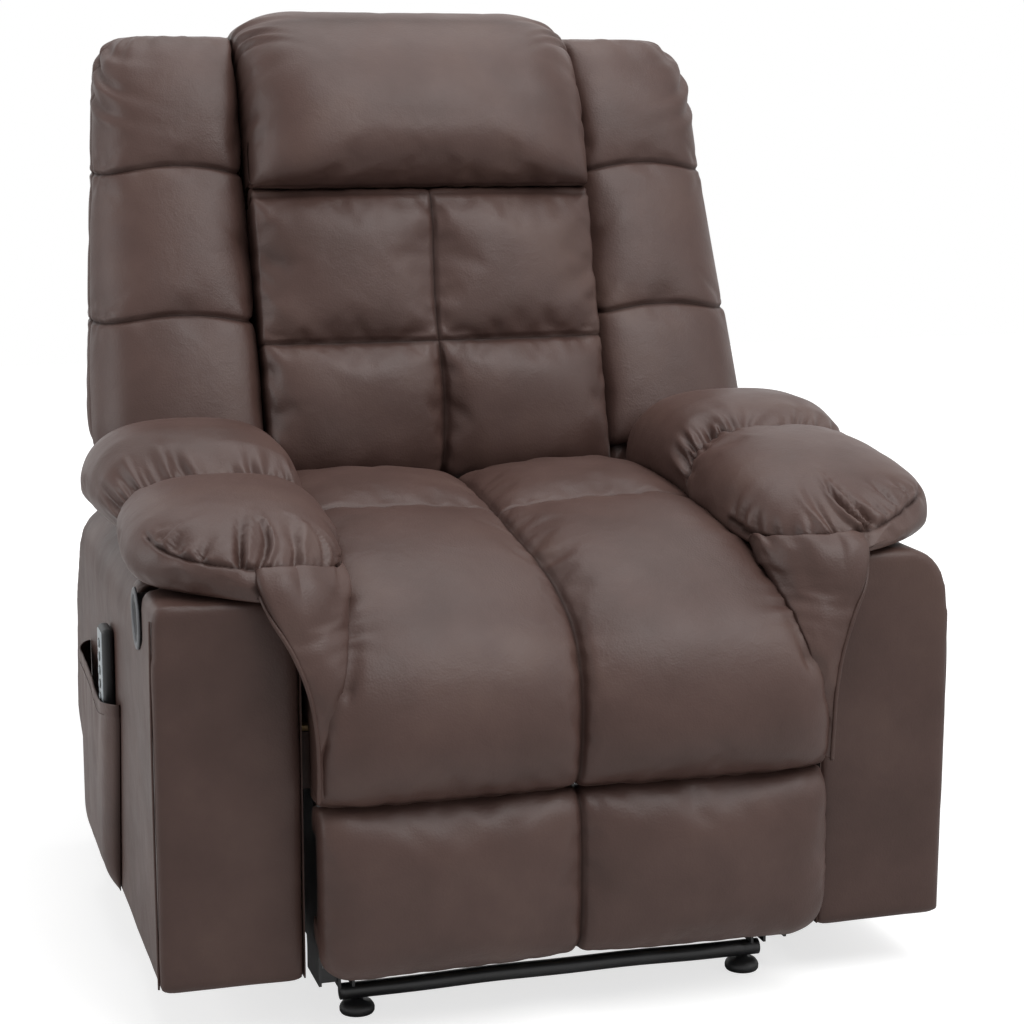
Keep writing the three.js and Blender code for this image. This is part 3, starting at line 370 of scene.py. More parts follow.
def makeSeat():
    length, half = curveLength(seat["seamLine"]), seat["half"]
    cross = shareOf(seat["seamLine"], seat["crossSeam"])
    u, v = panelGrid([-1, 0, 1], half, [0, cross, 1], length, seat["step"])
    middle, edge = alongCurve(seat["seamLine"], v), alongCurve(seat["edgeLine"], v)
    profile = middle + (edge - middle) * smoothStep(np.abs(u), 0.66, 1.0)[..., None]
    wave = 0.0035 * np.sin(v * 11.0) * (1 - np.abs(u)) * smoothStep(v, 0.05, 0.2)
    face = np.dstack([u * half + wave, profile[..., 0], profile[..., 1]])
    fromMiddle, fromSide = np.abs(u) * half, (1 - np.abs(u)) * half
    fromCross, fromEnds = np.abs(v - cross) * length, nearest(v, 1 - v) * length
    crossDip = 0.78 + 0.22 * pillow(fromCross, 0.06)
    hem = 0.25 + 0.75 * bulge((1 - v) * length - 0.028, 0.075)
    lift = pillow(fromMiddle, 0.13) * bulge(fromSide, 0.06) * crossDip * bulge(v * length, 0.05) * hem
    face = face + gridNormals(face) * (seat["crown"] * lift * bulge(fromEnds, 0.02))[..., None]
    under = alongCurve(seat["underLine"], v)
    room = seat["motorRoom"]
    overMotor = (np.abs(u * half) < room["halfX"]) & (np.abs(under[..., 0] - room["y"]) < room["halfY"])
    back = np.dstack([u * half, under[..., 0], under[..., 1] + room["height"] * overMotor])
    piece = closedPanel("seatPads", face, back)
    held = (nearest(fromMiddle, fromSide, fromEnds, fromCross) < 0.002) | ((1 - v) * length < 0.03)

    def pattern(u, v, places):
        middle, side = np.abs(u) * half, (1 - np.abs(u)) * half
        cross2, low = np.abs(v - cross) * length, np.abs((1 - v) * length - 0.03)
        seamFolds = folds(0, length, 0.031, 0.006, 0.034, 0.0013)
        depth = gatherDepth(v * length, middle, seamFolds, 3)
        sideFolds = folds(0.28, 0.58, 0.030, 0.008, 0.07, 0.0042)
        sides = np.where(u > 0, gatherDepth(v * length, side, sideFolds, 11),
                         gatherDepth(v * length, side, sideFolds, 17))
        depth += sides * smoothStep(v, 0.34, 0.44) * (1 - smoothStep(v, 0.68, 0.76))
        hemFolds = folds(-half, half, 0.034, 0.008, 0.04, 0.0016)
        depth += gatherDepth(u * half, low, hemFolds, 5) + gatherDepth(u * half, cross2, hemFolds, 6)
        rearFolds = {**hemFolds, "depth": 0.002, "reach": 0.05}
        depth += gatherDepth(u * half, np.abs(v * length - 0.07), rearFolds, 7)
        depth -= 0.0020 * hump(nearest(middle, cross2 + 0.001), 0.0028)
        crease, along, creaseZ = fromCurve(gore["crease"], places * np.where(places[:, :1] < 0, [-1, 1, 1], 1), False)
        upper = smoothStep(creaseZ, 0.362, 0.385)
        puckers = folds(0, 0.2, 0.017, 0.004, 0.026, 0.0045)
        beside = np.abs(places[:, 0]) < 0.262
        depth += gatherDepth(along, crease, puckers, 12) * beside * smoothStep(creaseZ, 0.40, 0.43)
        depth -= 0.0055 * hump(crease, 0.007) * upper
        # second value: painted shade, dark along the seams and the crease beside the gore
        return depth, bulge(nearest(middle, side + 0.004, cross2 + 0.003, low, crease + 1 - upper), 0.008)

    return dressPad(piece, seat, held, u, v, pattern)


# the footrest: two fields with rounded lower corners

footrest = {
    "line": [(-0.398, 0.2515), (-0.424, 0.2525), (-0.438, 0.240), (-0.4445, 0.205), (-0.446, 0.160),
             (-0.4445, 0.115), (-0.438, 0.086), (-0.420, 0.0745), (-0.398, 0.079)],
    "half": 0.2805, "crown": 0.0165, "corner": 0.036, "step": 0.0075, "depth": 0.03,
    "body": "footrest", "node": "footrest_pad", "fill": 0.85, "cap": 0.010, "growth": 0.010,
}


def makeFootrest():
    length, half = curveLength(footrest["line"]), footrest["half"]
    u, v = panelGrid([-1, 0, 1], half, [0, 1], length, footrest["step"])
    profile = alongCurve(footrest["line"], v)
    x, corner = u * half, footrest["corner"]
    overlap = np.clip((np.abs(x) - half + corner) / corner, 0, 1)
    rise = corner * (1 - np.sqrt(1 - overlap**2)) * smoothStep(v, 0.50, 0.80)
    face = np.dstack([x, profile[..., 0], profile[..., 1] + rise])
    fromMiddle, fromSide, fromEnds = np.abs(x), half - np.abs(x), nearest(v, 1 - v) * length
    lift = pillow(fromMiddle, 0.12) * bulge(fromSide, 0.045) * bulge(fromEnds - 0.012, 0.065)
    face = face + gridNormals(face) * (footrest["crown"] * lift)[..., None]
    piece = closedPanel("footrestPads", face, behind(face, footrest["depth"]))
    held = (nearest(fromMiddle, fromSide) < 0.002) | (fromEnds < 0.03)

    def pattern(u, v, places):
        middle, side = np.abs(u) * half, (1 - np.abs(u)) * half
        top, low = v * length, (1 - v) * length
        upright = folds(0.02, length, 0.029, 0.006, 0.03, 0.0012)
        level = folds(-half, half, 0.036, 0.008, 0.035, 0.0013)
        depth = gatherDepth(v * length, middle, upright, 21) + gatherDepth(v * length, side, upright, 22)
        depth += gatherDepth(u * half, np.abs(top - 0.03), level, 23)
        depth += gatherDepth(u * half, np.abs(low - 0.03), level, 24)
        depth -= 0.0018 * hump(middle, 0.0028)
        # second value: painted shade, dark along the seams and the upper and lower edges
        return depth, bulge(nearest(middle, side + 0.004, top, low), 0.008)

    return dressPad(piece, footrest, held, u, v, pattern)


# the back: everything is placed by its height and by its depth in front of a leaning plane

lean = {"planeY": 0.235, "planeZ": 0.5, "slope": 0.29}


def onBack(x, depth, z):
    return np.dstack([x, lean["planeY"] + lean["slope"] * (z - lean["planeZ"]) - depth, z])


backPads = {
    # (depth, height) of the middle seam and of the side seams, from the head's seam down to the seat
    "seamLine": [(0.120, 0.8600), (0.140, 0.8600), (0.1515, 0.8585), (0.1545, 0.845), (0.153, 0.765),
                 (0.154, 0.674), (0.140, 0.586), (0.122, 0.520), (0.098, 0.484)],
    "sideLine": [(0.095, 0.8600), (0.112, 0.8600), (0.1225, 0.8585), (0.1255, 0.845), (0.126, 0.765),
                 (0.128, 0.679), (0.128, 0.592), (0.124, 0.520), (0.095, 0.484)],
    "rowSeam": (0.154, 0.674), "half": 0.2215, "step": 0.007, "depth": 0.09,
    "crownTop": 0.012, "crownLow": 0.024, "tuck": 0.036,  # tuck: the part that turns inwards at the head's seam
    "body": "backrest", "node": "back_cushion", "fill": 0.8, "cap": 0.020, "growth": 0.018,
}


def makeBackPads():
    length, half = curveLength(backPads["seamLine"]), backPads["half"]
    row = shareOf(backPads["seamLine"], backPads["rowSeam"])
    tuck = backPads["tuck"]
    u, v = panelGrid([-1, 0, 1], half, [0, row, 1], length, backPads["step"])
    middle, side = alongCurve(backPads["seamLine"], v), alongCurve(backPads["sideLine"], v)
    profile = middle + (side - middle) * (np.abs(u) ** 2.4)[..., None]
    x = u * half + 0.002 * np.sin(v * 11) * (1 - np.abs(u))
    face = onBack(x, profile[..., 0], profile[..., 1])
    fromMiddle, fromSide = np.abs(u) * half, (1 - np.abs(u)) * half
    fromRow, fromTop, fromLow = np.abs(v - row) * length, v * length - tuck, (1 - v) * length
    lower = smoothStep(v, row - 0.02, row + 0.02)
    crown = backPads["crownTop"] + (backPads["crownLow"] - backPads["crownTop"]) * lower
    lift = pillow(fromMiddle, 0.1) * pillow(fromSide, 0.08) * pillow(fromRow, 0.08)
    lift = lift * pillow(fromTop, 0.08) * bulge(fromLow, 0.085)
    face = face + gridNormals(face) * (crown * lift)[..., None]
    piece = closedPanel("backPads", face, behind(face, backPads["depth"]))
    held = (nearest(fromMiddle, fromSide, fromRow, fromLow) < 0.002) | (fromTop < 0.002)

    def pattern(u, v, places):
        middle, side = np.abs(u) * half, (1 - np.abs(u)) * half
        row2, top, low = np.abs(v - row) * length, np.abs(v * length - tuck), (1 - v) * length
        upright = folds(tuck, length, 0.030, 0.006, 0.038, 0.0014)
        level = folds(-half, half, 0.030, 0.0065, 0.036, 0.0014)
        sideFolds = {**upright, "spacing": 0.052, "width": 0.009, "reach": 0.055, "depth": 0.0034}
        leftSide, rightSide = np.where(u < 0, side, 1.0), np.where(u < 0, 1.0, side)
        depth = gatherDepth(v * length, middle, upright, 31)
        depth += gatherDepth(v * length, leftSide, {**sideFolds, "slant": 0.7}, 32)
        depth += gatherDepth(v * length, rightSide, {**sideFolds, "slant": 0.5}, 36)
        depth += gatherDepth(u * half, row2, level, 33) + gatherDepth(u * half, top, level, 34)
        depth += gatherDepth(u * half, low, {**level, "depth": 0.003, "reach": 0.07, "width": 0.009}, 35)
        depth -= 0.0018 * hump(nearest(middle, row2, top), 0.0028)
        # second value: painted shade, dark along the seams
        return depth, bulge(nearest(middle, side, row2, top), 0.008)

    return dressPad(piece, backPads, held, u, v, pattern)


headPillow = {
    "seamZ": 0.8605, "topZ": 1.0845, "cornerDrop": 0.039, "depthMiddle": 0.189, "depthSide": 0.122,
    # folds at the upper corners: where along the side, slant and depth
    "cornerFolds": ((-0.012, 0.55, 0.0050), (0.016, 0.75, 0.0042), (0.046, 0.45, 0.0030)),
    "seamMiddle": 0.1515, "seamSide": 0.1225, "half": 0.2220, "step": 0.007, "depth": 0.06, "roundness": 2.5,
    "body": "backrest", "node": "head_cushion", "fill": 0.9, "cap": 0.008, "growth": 0.005,
}


def headLine(full):  # (depth, height) from the seam over the rolled top to the rear edge
    facts = headPillow
    depth = facts["depthSide"] + (facts["depthMiddle"] - facts["depthSide"]) * full
    seam = facts["seamSide"] + (facts["seamMiddle"] - facts["seamSide"]) * full
    top = facts["topZ"] - facts["cornerDrop"] * (1 - full)
    waist = facts["seamZ"] + 0.045 + 0.055 * full
    line = [(seam - 0.030, facts["seamZ"]), (seam - 0.010, facts["seamZ"]), (seam + 0.002, facts["seamZ"] + 0.003),
            (seam + 0.66 * (depth - seam) + 0.004 * full, facts["seamZ"] + 0.021)]
    for angle in np.linspace(0, np.pi / 2, 8):
        line.append((max(depth * np.cos(angle) ** (2 / facts["roundness"]), 0),
                     waist + (top - waist) * np.sin(angle) ** (2 / facts["roundness"])))
    line[-1] = (0.0, top - 0.010)
    return line


def makeHeadPillow():
    half = headPillow["half"]
    length = curveLength(headLine(1))
    u, v = panelGrid([-1, 1], half, [0, 1], length, headPillow["step"])
    full = bulge((1 - np.abs(u[0])) * half, 0.088, 0.55)
    profile = np.stack([alongCurve(headLine(share), v[:, 0]) for share in full], axis=1)
    face = onBack(u * half, profile[..., 0], profile[..., 1])
    piece = closedPanel("headPillow", face, behind(face, headPillow["depth"]))
    tuck, cornerAt = 0.034, 0.70 * length
    fromSide, fromSeam, fromRear = (1 - np.abs(u)) * half, v * length - tuck, (1 - v) * length
    held = (nearest(fromSide, fromRear) < 0.002) | (fromSeam < 0.002)

    def pattern(u, v, places):
        side, seam = (1 - np.abs(u)) * half, np.abs(v * length - tuck)
        level = folds(-half, half, 0.040, 0.008, 0.04, 0.0012)
        upright = folds(tuck, length, 0.040, 0.009, 0.05, 0.0022)
        depth = gatherDepth(u * half, seam, level, 41) + gatherDepth(v * length, side, upright, 42)
        corner = np.abs(v * length - cornerAt)
        fade = hump(side, 0.055) * (0.3 + 0.7 * smoothStep(side, 0.0, 0.012))
        depth += foldRow(lambda place, slant: v * length - cornerAt - place + slant * side, fade,
                         headPillow["cornerFolds"], 0.010, 0.006)
        # second value: painted shade, dark along the sides and the seam, and darker still at the upper corner folds
        return depth, bulge(nearest(side, seam), 0.008) * (1 - 0.25 * hump(nearest(side, corner), 0.01))

    return dressPad(piece, headPillow, held, u, v, pattern)


wing = {
    # round the bolster: (share of its width, share of its depth), from the inner crevice to the pan
    "section": [(0.00, 0.00), (0.00, 0.60), (0.010, 0.86), (0.065, 0.965), (0.22, 1.01), (0.43, 1.00),
                (0.64, 0.965), (0.82, 0.88), (0.94, 0.69), (1.00, 0.40), (1.00, 0.13), (0.985, 0.00)],
    "bottomZ": 0.560, "topZ": 1.050, "innerX": 0.2225, "outerLow": 0.431, "outerTop": 0.393,
    "seams": (0.700, 0.880), "depthLow": 0.136, "depthTop": 0.106, "pinch": 0.0055, "arch": 0.021,
    "hang": 0.34, "girth": 0.36, "step": 0.007,
    # folds at the upper outer corner: how far below the top, slant and depth
    "cornerFolds": ((0.040, 0.55, 0.0060), (0.078, 0.45, 0.0045), (0.012, 0.30, 0.0035)),
    "body": "backrest", "node": "wing", "fill": 0.8, "cap": 0.007, "growth": 0.006,
}


def makeWing(side):
    height = wing["topZ"] - wing["bottomZ"]
    seams = [(z - wing["bottomZ"]) / height for z in wing["seams"]]
    u, v = panelGrid([0, 1], wing["girth"], [0, *seams, 1], height, wing["step"])
    shape = alongCurve(wing["section"], u)
    outer = wing["outerLow"] + (wing["outerTop"] - wing["outerLow"]) * v
    bottomRoll, topRoll = bulge(v * height, 0.045, 0.5), bulge((1 - v) * height, 0.068, 0.5)
    depth = wing["depthLow"] + (wing["depthTop"] - wing["depthLow"]) * smoothStep(v, 0.0, 0.6)
    depth = depth * (1 - 0.12 * smoothStep(v, 0.8, 1.0)) * shape[..., 1]
    depth = depth * (0.72 + 0.28 * bottomRoll) * (0.50 + 0.50 * topRoll)
    shrink = 0.010 * (1 - bottomRoll) + 0.040 * (1 - topRoll) * smoothStep(shape[..., 0], 0, 1)
    x = wing["innerX"] + (outer - shrink - wing["innerX"]) * shape[..., 0]
    bow = np.sin(np.pi * (0.12 + 0.80 * shape[..., 0])) - 0.45
    z = wing["bottomZ"] + height * v + wing["arch"] * bow * shape[..., 1] * topRoll
    z = z - wing["hang"] * depth * (1 - smoothStep(v, 0.0, 0.25))
    face = onBack(x, depth, z)
    fromSeam = nearest(*[np.abs(v - s) for s in seams]) * height
    onFace = smoothStep(shape[..., 1], 0.05, 0.6)
    dip = wing["pinch"] * (pillow(fromSeam, 0.07, 0.5) - 1) * (1 - 0.6 * smoothStep(shape[..., 0], 0.8, 1.0))
    face = face + gridNormals(face) * (dip * onFace)[..., None]
    piece = closedLoft("wing" + sideWord(side), face * mirror[side])
    held = (fromSeam < 0.002) | (shape[..., 1] < 0.02) | (nearest(v, 1 - v) * height < 0.002)
    seed = 50 if side > 0 else 70

    def pattern(u, v, places):
        girth, seam = u * wing["girth"], nearest(*[np.abs(v - s) for s in seams]) * height
        level = folds(0.03, 0.36, 0.026, 0.006, 0.032, 0.0014)
        depth = gatherDepth(girth, seam, level, seed)
        crown = {**level, "width": 0.009, "reach": 0.05, "depth": 0.0032}
        depth += gatherDepth(girth, (1 - v) * height, crown, seed + 1)
        depth += foldRow(lambda place, slant: (1 - v) * height - place - slant * (0.30 - girth),
                         hump(girth - 0.285, 0.048), wing["cornerFolds"], 0.012, 0.007)
        depth += gatherDepth(girth, v * height, {**level, "width": 0.009, "reach": 0.06, "depth": 0.003}, seed + 2)
        inner = folds(0, height, 0.034, 0.008, 0.04, 0.0015)
        depth += gatherDepth(v * height, np.abs(girth - 0.06), inner, seed + 3)
        edge = np.abs(girth - 0.315)
        depth -= 0.0026 * hump(seam, 0.0026) + 0.0022 * hump(edge, 0.003)
        # second value: painted shade, dark along the seams and the inner and outer edges
        return depth, bulge(nearest(seam, girth + 0.004, edge + 0.002), 0.007)

    return dressPad(piece, onSide(wing, side), held, u, v, pattern)


# arm pads: a rear and a front lobe, gathered where they meet, and a capped nose that turns inwards

armPad = {
    # Y, inner X, outer X, height of the rim, and of the crest of the right and of the left pad
    "rings": [(0.1180, 0.292, 0.400, 0.486, 0.502, 0.500), (0.1120, 0.258, 0.430, 0.492, 0.538, 0.532),
              (0.0980, 0.238, 0.447, 0.501, 0.570, 0.561), (0.0750, 0.228, 0.456, 0.510, 0.595, 0.585),
              (0.0400, 0.224, 0.4595, 0.518, 0.611, 0.600), (0.0000, 0.2225, 0.460, 0.522, 0.616, 0.605),
              (-0.050, 0.2225, 0.459, 0.524, 0.615, 0.601), (-0.090, 0.224, 0.453, 0.521, 0.607, 0.589),
              (-0.120, 0.228, 0.441, 0.511, 0.596, 0.569), (-0.137, 0.231, 0.430, 0.503, 0.583, 0.551),
              (-0.148, 0.228, 0.437, 0.505, 0.590, 0.560), (-0.175, 0.224, 0.445, 0.505, 0.592, 0.566),
              (-0.220, 0.2225, 0.451, 0.502, 0.587, 0.567), (-0.270, 0.223, 0.453, 0.498, 0.578, 0.563),
              (-0.305, 0.226, 0.452, 0.496, 0.569, 0.557), (-0.330, 0.230, 0.447, 0.495, 0.561, 0.550),
              (-0.350, 0.236, 0.436, 0.494, 0.551, 0.543), (-0.370, 0.248, 0.418, 0.493, 0.539, 0.533),
              (-0.388, 0.263, 0.399, 0.492, 0.527, 0.523), (-0.402, 0.279, 0.380, 0.491, 0.516, 0.513),
              (-0.412, 0.296, 0.361, 0.490, 0.505, 0.503), (-0.418, 0.312, 0.344, 0.489, 0.494, 0.494)],
    "innerRim": 0.4850, "round": {1: 0.60, -1: 0.78}, "frontRise": {1: 0.015, -1: 0.0},
    "gatherY": -0.137, "deckZ": 0.4725, "girth": 0.36, "step": 0.006, "around": 120,
    # the seam above the cap, from the outer corner round the nose to the gore and the inner side
    "noseSeam": {
        1: [(0.4400, -0.322, 0.548), (0.4340, -0.350, 0.541), (0.4130, -0.371, 0.534), (0.3820, -0.392, 0.524),
            (0.3350, -0.408, 0.5105), (0.3080, -0.404, 0.503), (0.2750, -0.386, 0.498), (0.2450, -0.360, 0.4965),
            (0.2290, -0.330, 0.500), (0.2230, -0.290, 0.507)],
        -1: [(0.4400, -0.315, 0.543), (0.4340, -0.345, 0.531), (0.4200, -0.362, 0.5215), (0.3850, -0.392, 0.513),
             (0.3370, -0.408, 0.5065), (0.3100, -0.405, 0.500), (0.2750, -0.386, 0.494), (0.2400, -0.360, 0.490),
             (0.2290, -0.330, 0.496), (0.2230, -0.290, 0.503)]},
    "body": "chair_base", "node": "arm_pad", "fill": 0.85, "cap": 0.006, "growth": 0.005,
}


def fromCurve(curve, places, onSurface=True):  # distance to a curve, place along it, and its height there
    shares = np.linspace(0, 1, 240)
    line = alongCurve(curve, shares)
    length = curveLength(curve)
    away, where = np.empty(len(places)), np.empty(len(places), int)
    for low in range(0, len(places), 4000):
        gaps = np.linalg.norm(places[low:low + 4000, None, :] - line[None, :, :], axis=2)
        where[low:low + 4000] = gaps.argmin(axis=1)
        away[low:low + 4000] = gaps.min(axis=1)
        sunk = gaps.min(axis=0) if low == 0 else np.minimum(sunk, gaps.min(axis=0))
    if onSurface:  # the curve lies a little off the surface: only the distance along the surface counts
        sunk = np.convolve(np.r_[[sunk[0]] * 6, sunk, [sunk[-1]] * 6], np.ones(13) / 13, "valid")
        away = np.sqrt(np.maximum(away**2 - sunk[where] ** 2, 0))
    return away, shares[where] * length, line[where, 2]


def layOn(piece, points, lift):  # the nearest places on the piece's surface, raised a little
    laid = []
    for point, rise in zip(points, np.broadcast_to(lift, len(points))):
        found, place, normal, index = piece.closest_point_on_mesh(Vector(point))
        laid.append(tuple(place + normal * float(rise)))
    return laid


def creaseDepth(along, away, creases):  # single folds: where, half width, how far they run, depth, slant
    total = np.zeros_like(along)
    for place, width, reach, depth, slant in creases:
        middle = place + slant * away
        spread = width * (0.6 + away / reach)
        fade = np.exp(-(away / reach) ** 4)
        total -= depth * fade * hump(along - middle, spread)
        total += 0.7 * depth * fade * hump(along - middle - 1.9 * spread, spread)
    return total


def makeArmPad(side):
    table = np.array(armPad["rings"])
    reach = table[0, 0] - table[-1, 0]
    gatherAt = (table[0, 0] - armPad["gatherY"]) / reach
    y = table[0, 0] - reach * panelSteps([0, gatherAt, 1], reach, armPad["step"])
    column = 4 if side > 0 else 5
    inner, outer, rim, crest = [np.interp(-y, -table[:, 0], table[:, i])[:, None] for i in (1, 2, 3, column)]
    turn = np.linspace(0, 2 * np.pi, armPad["around"], endpoint=False)[None, :]
    c, s = np.cos(turn), np.sin(turn)
    above, boxy = s >= 0, armPad["round"][side]
    rise = armPad["frontRise"][side] * smoothStep(-y, 0.20, 0.32)[:, None]
    deck, rim = armPad["deckZ"] + rise, rim + 0.6 * rise
    x = (inner + outer) / 2 - (outer - inner) / 2 * np.sign(c) * np.abs(c) ** 0.72
    tuck = np.where(c > 0, 0.05, 0.05 - 0.034 * smoothStep(-y, 0.15, 0.24)[:, None])
    x = x + np.where(above, 0, tuck * (1 - np.abs(s)) ** 0.5 * np.sign(c) * np.abs(s) ** 0.6)
    lowRim = rim + (np.minimum(rim, armPad["innerRim"]) - rim) * smoothStep(-y, 0.18, 0.34)[:, None]
    rim = np.where(c > 0, lowRim, rim)  # beside the gore the pad is fullest right above the seam
    z = np.where(above, rim + (crest - rim) * np.abs(s) ** boxy, rim + (deck - rim) * np.abs(s) ** 0.45)
    rings = np.dstack([x, y[:, None] + 0 * s, z])
    piece = closedLoft("armPad" + sideWord(side), rings * mirror[side])
    away = np.abs(y - armPad["gatherY"])[:, None] + 0 * s
    held = (~above & (np.abs(s) > 0.3)) | (away < 0.002)
    seed = 90 if side > 0 else 130

    def pattern(u, v, places):
        right = places * mirror[side]
        gather = np.abs(right[:, 1] - armPad["gatherY"])
        behind = right[:, 1] > armPad["gatherY"]
        top = smoothStep(right[:, 2], 0.490, 0.515)
        rear = folds(0, 0.38, 0.0165, 0.0048, 0.040, 0.0082)
        front = folds(0, 0.38, 0.019, 0.0045, 0.026, 0.0044)
        depth = top * np.where(behind, gatherDepth(u, gather, rear, seed), gatherDepth(u, gather, front, seed + 1))
        away, along, seamZ = fromCurve(armPad["noseSeam"][side], right)
        over = smoothStep(right[:, 2], seamZ - 0.001, seamZ + 0.004)
        nose = folds(0.02, 0.34, 0.019, 0.0048, 0.034, 0.0042)
        depth += gatherDepth(along, away, nose, seed + 2) * smoothStep(along, 0.005, 0.03) * over
        depth += creaseDepth(along, away, noseCreases[side]) * over
        band = folds(0.02, 0.16, 0.022, 0.005, 0.020, 0.0016)
        depth += gatherDepth(along, away, band, seed + 3) * (1 - over)
        sewn = smoothStep(along, 0.004, 0.02)
        depth -= 0.0034 * hump(away, 0.0030) * sewn
        depth -= 0.0030 * hump(gather, 0.004) * top
        # second value: painted shade, dark along the gather and the nose seam
        return depth, bulge(nearest(gather + 1 - top, away + 1 - sewn), 0.007)

    girth = turn / np.pi * armPad["girth"] + 0 * y[:, None]
    dressPad(piece, onSide(armPad, side), held, girth, y[:, None] + 0 * s, pattern)
    seam = armPad["noseSeam"][side]
    line = alongCurve(seam, np.linspace(0.50, 0.88, 24)) - np.array([0, 0, 0.0035])
    line = layOn(piece, line * mirror[side], 0.0005)
    stitchesAlong("goreStitches" + sideWord(side), line)
    return piece


# deeper folds that run up from the nose seam: along it, half width, reach, depth, slant
noseCreases = {
    1: [(0.146, 0.0055, 0.090, 0.0095, 0.50), (0.136, 0.0050, 0.075, 0.0085, 0.15),
        (0.088, 0.0045, 0.048, 0.0055, -0.10), (0.052, 0.0040, 0.034, 0.0040, 0.00),
        (0.182, 0.0050, 0.055, 0.0045, 0.60), (0.112, 0.0045, 0.040, 0.0040, 0.1)],
    -1: [(0.142, 0.0055, 0.080, 0.0100, -0.15), (0.160, 0.0055, 0.075, 0.0085, 0.30), (0.098, 0.0045, 0.036, 0.0035, 0),
         (0.196, 0.0055, 0.065, 0.0050, 0.50), (0.060, 0.0040, 0.030, 0.0030, 0), (0.236, 0.0055, 0.070, 0.0040, 0.4)],
}


# gores: the leather between an arm pad's nose and the seat's front, narrowing down to the footrest

gore = {
    # (X, Y, Z) of the outer edge, where its welt runs, and of the inner edge along the seat
    "outer": [(0.331, -0.400, 0.488), (0.332, -0.416, 0.480), (0.325, -0.433, 0.460), (0.306, -0.446, 0.425),
              (0.291, -0.4520, 0.385), (0.284, -0.4535, 0.345), (0.2820, -0.4530, 0.300), (0.2820, -0.4500, 0.268)],
    "inner": [(0.234, -0.338, 0.482), (0.233, -0.368, 0.476), (0.236, -0.399, 0.461), (0.243, -0.4270, 0.437),
              (0.250, -0.4480, 0.405), (0.259, -0.4520, 0.366), (0.268, -0.4400, 0.320), (0.272, -0.4350, 0.275)],
    # where the seat dips beside the gore's inner edge
    "crease": [(0.236, -0.365, 0.476), (0.236, -0.400, 0.461), (0.240, -0.4300, 0.437), (0.246, -0.4510, 0.405),
               (0.254, -0.4580, 0.370)],
    "width": 0.10, "crown": 0.010, "step": 0.006, "depth": 0.012,
    "body": "chair_base", "node": "arm_gore", "fill": 0.5, "cap": 0.004, "growth": 0.008,
}


def makeGore(side):
    length = curveLength(gore["outer"])
    u, v = panelGrid([0, 1], gore["width"], [0, 1], length, gore["step"])
    shares = np.linspace(0, 1, 60)
    edge = alongCurve(gore["inner"], shares) * mirror[side]
    edge = np.array(layOn(seatPiece, edge, 0.0020 - 0.014 * smoothStep(shares, 0.55, 0.72))) * mirror[side]
    inner, outer = alongCurve(edge, v), alongCurve(gore["outer"], v)
    face = inner + (outer - inner) * u[..., None]
    seam = armPad["noseSeam"][side]
    ends = [shareOf(seam, point) for point in ((0.2290, -0.331, 0.498), (0.3350, -0.408, 0.5085))]
    top = alongCurve(seam, ends[0] + (ends[1] - ends[0]) * u[0]) * mirror[side]
    top = np.array(layOn(armPads[side], top, 0.0030)) * mirror[side]
    face = face + (top - face[:1]) * (1 - smoothStep(v, 0.0, 0.34))[..., None]
    width = np.linalg.norm(outer - inner, axis=2)
    lift = np.sin(np.pi * u) ** 0.7 * np.clip(width / 0.08, 0.25, 1)
    normal = gridNormals(face, (-0.2, -1, 0.5))
    face = face + normal * (gore["crown"] * lift)[..., None]
    face = face * mirror[side]
    piece = closedPanel("gore" + sideWord(side), face, behind(face, gore["depth"]))
    held = (nearest(u, 1 - u) < 0.02) | (v < 0.02)
    seed = 160 if side > 0 else 170

    def pattern(u, v, places):
        top = folds(0, 0.12, 0.024, 0.006, 0.07, 0.0034)
        depth = gatherDepth(u * gore["width"], v * length, top, seed)
        # second value: painted shade, dark along both edges
        return depth, bulge(nearest(u, 1 - u) * 0.06 + 0.002, 0.008)

    return dressPad(piece, onSide(gore, side), held, u, v, pattern)


# upholstered shells are made from the frame's own solids, remeshed so that their edges round off

shells = {
    "armCoverRight": {"node": "arm_cover_right", "body": "chair_base", "voxel": 0.0055, "square": 2.3, "rise": 0.013},
    "armCoverLeft": {"node": "arm_cover_left", "body": "chair_base", "voxel": 0.0055, "square": 9.0, "rise": 0.0},
    "backCover": {"node": "back_pan", "body": "backrest", "voxel": 0.005, "upright": True},
}


shoulder = {"x": 0.382, "z": 0.414}  # where the CAD cover starts to curve inwards


def squareShoulder(piece, power, rise):  # near the front the leather is drawn over the pad's foot and the latch
    places = readVectors(piece)
    across, up = np.abs(places[:, 0]) - shoulder["x"], places[:, 2] - shoulder["z"]
    radial = np.hypot(across, up)
    corner = (across > 0) & (up > 0)
    c, s = across / np.maximum(radial, 1e-9), up / np.maximum(radial, 1e-9)
    stretch = (np.abs(c) ** power + np.abs(s) ** power) ** (-1 / power) - 1
    share = (1 - smoothStep(places[:, 1], -0.25, -0.18)) * smoothStep(radial, 0.015, 0.050) * corner
    places[:, 0] += np.sign(places[:, 0]) * across * stretch * share
    places[:, 2] += up * stretch * share
    front = (1 - smoothStep(places[:, 1], -0.32, -0.20)) * smoothStep(places[:, 2], 0.40, 0.470)
    places[:, 2] += rise * front
    writePlaces(piece, places)


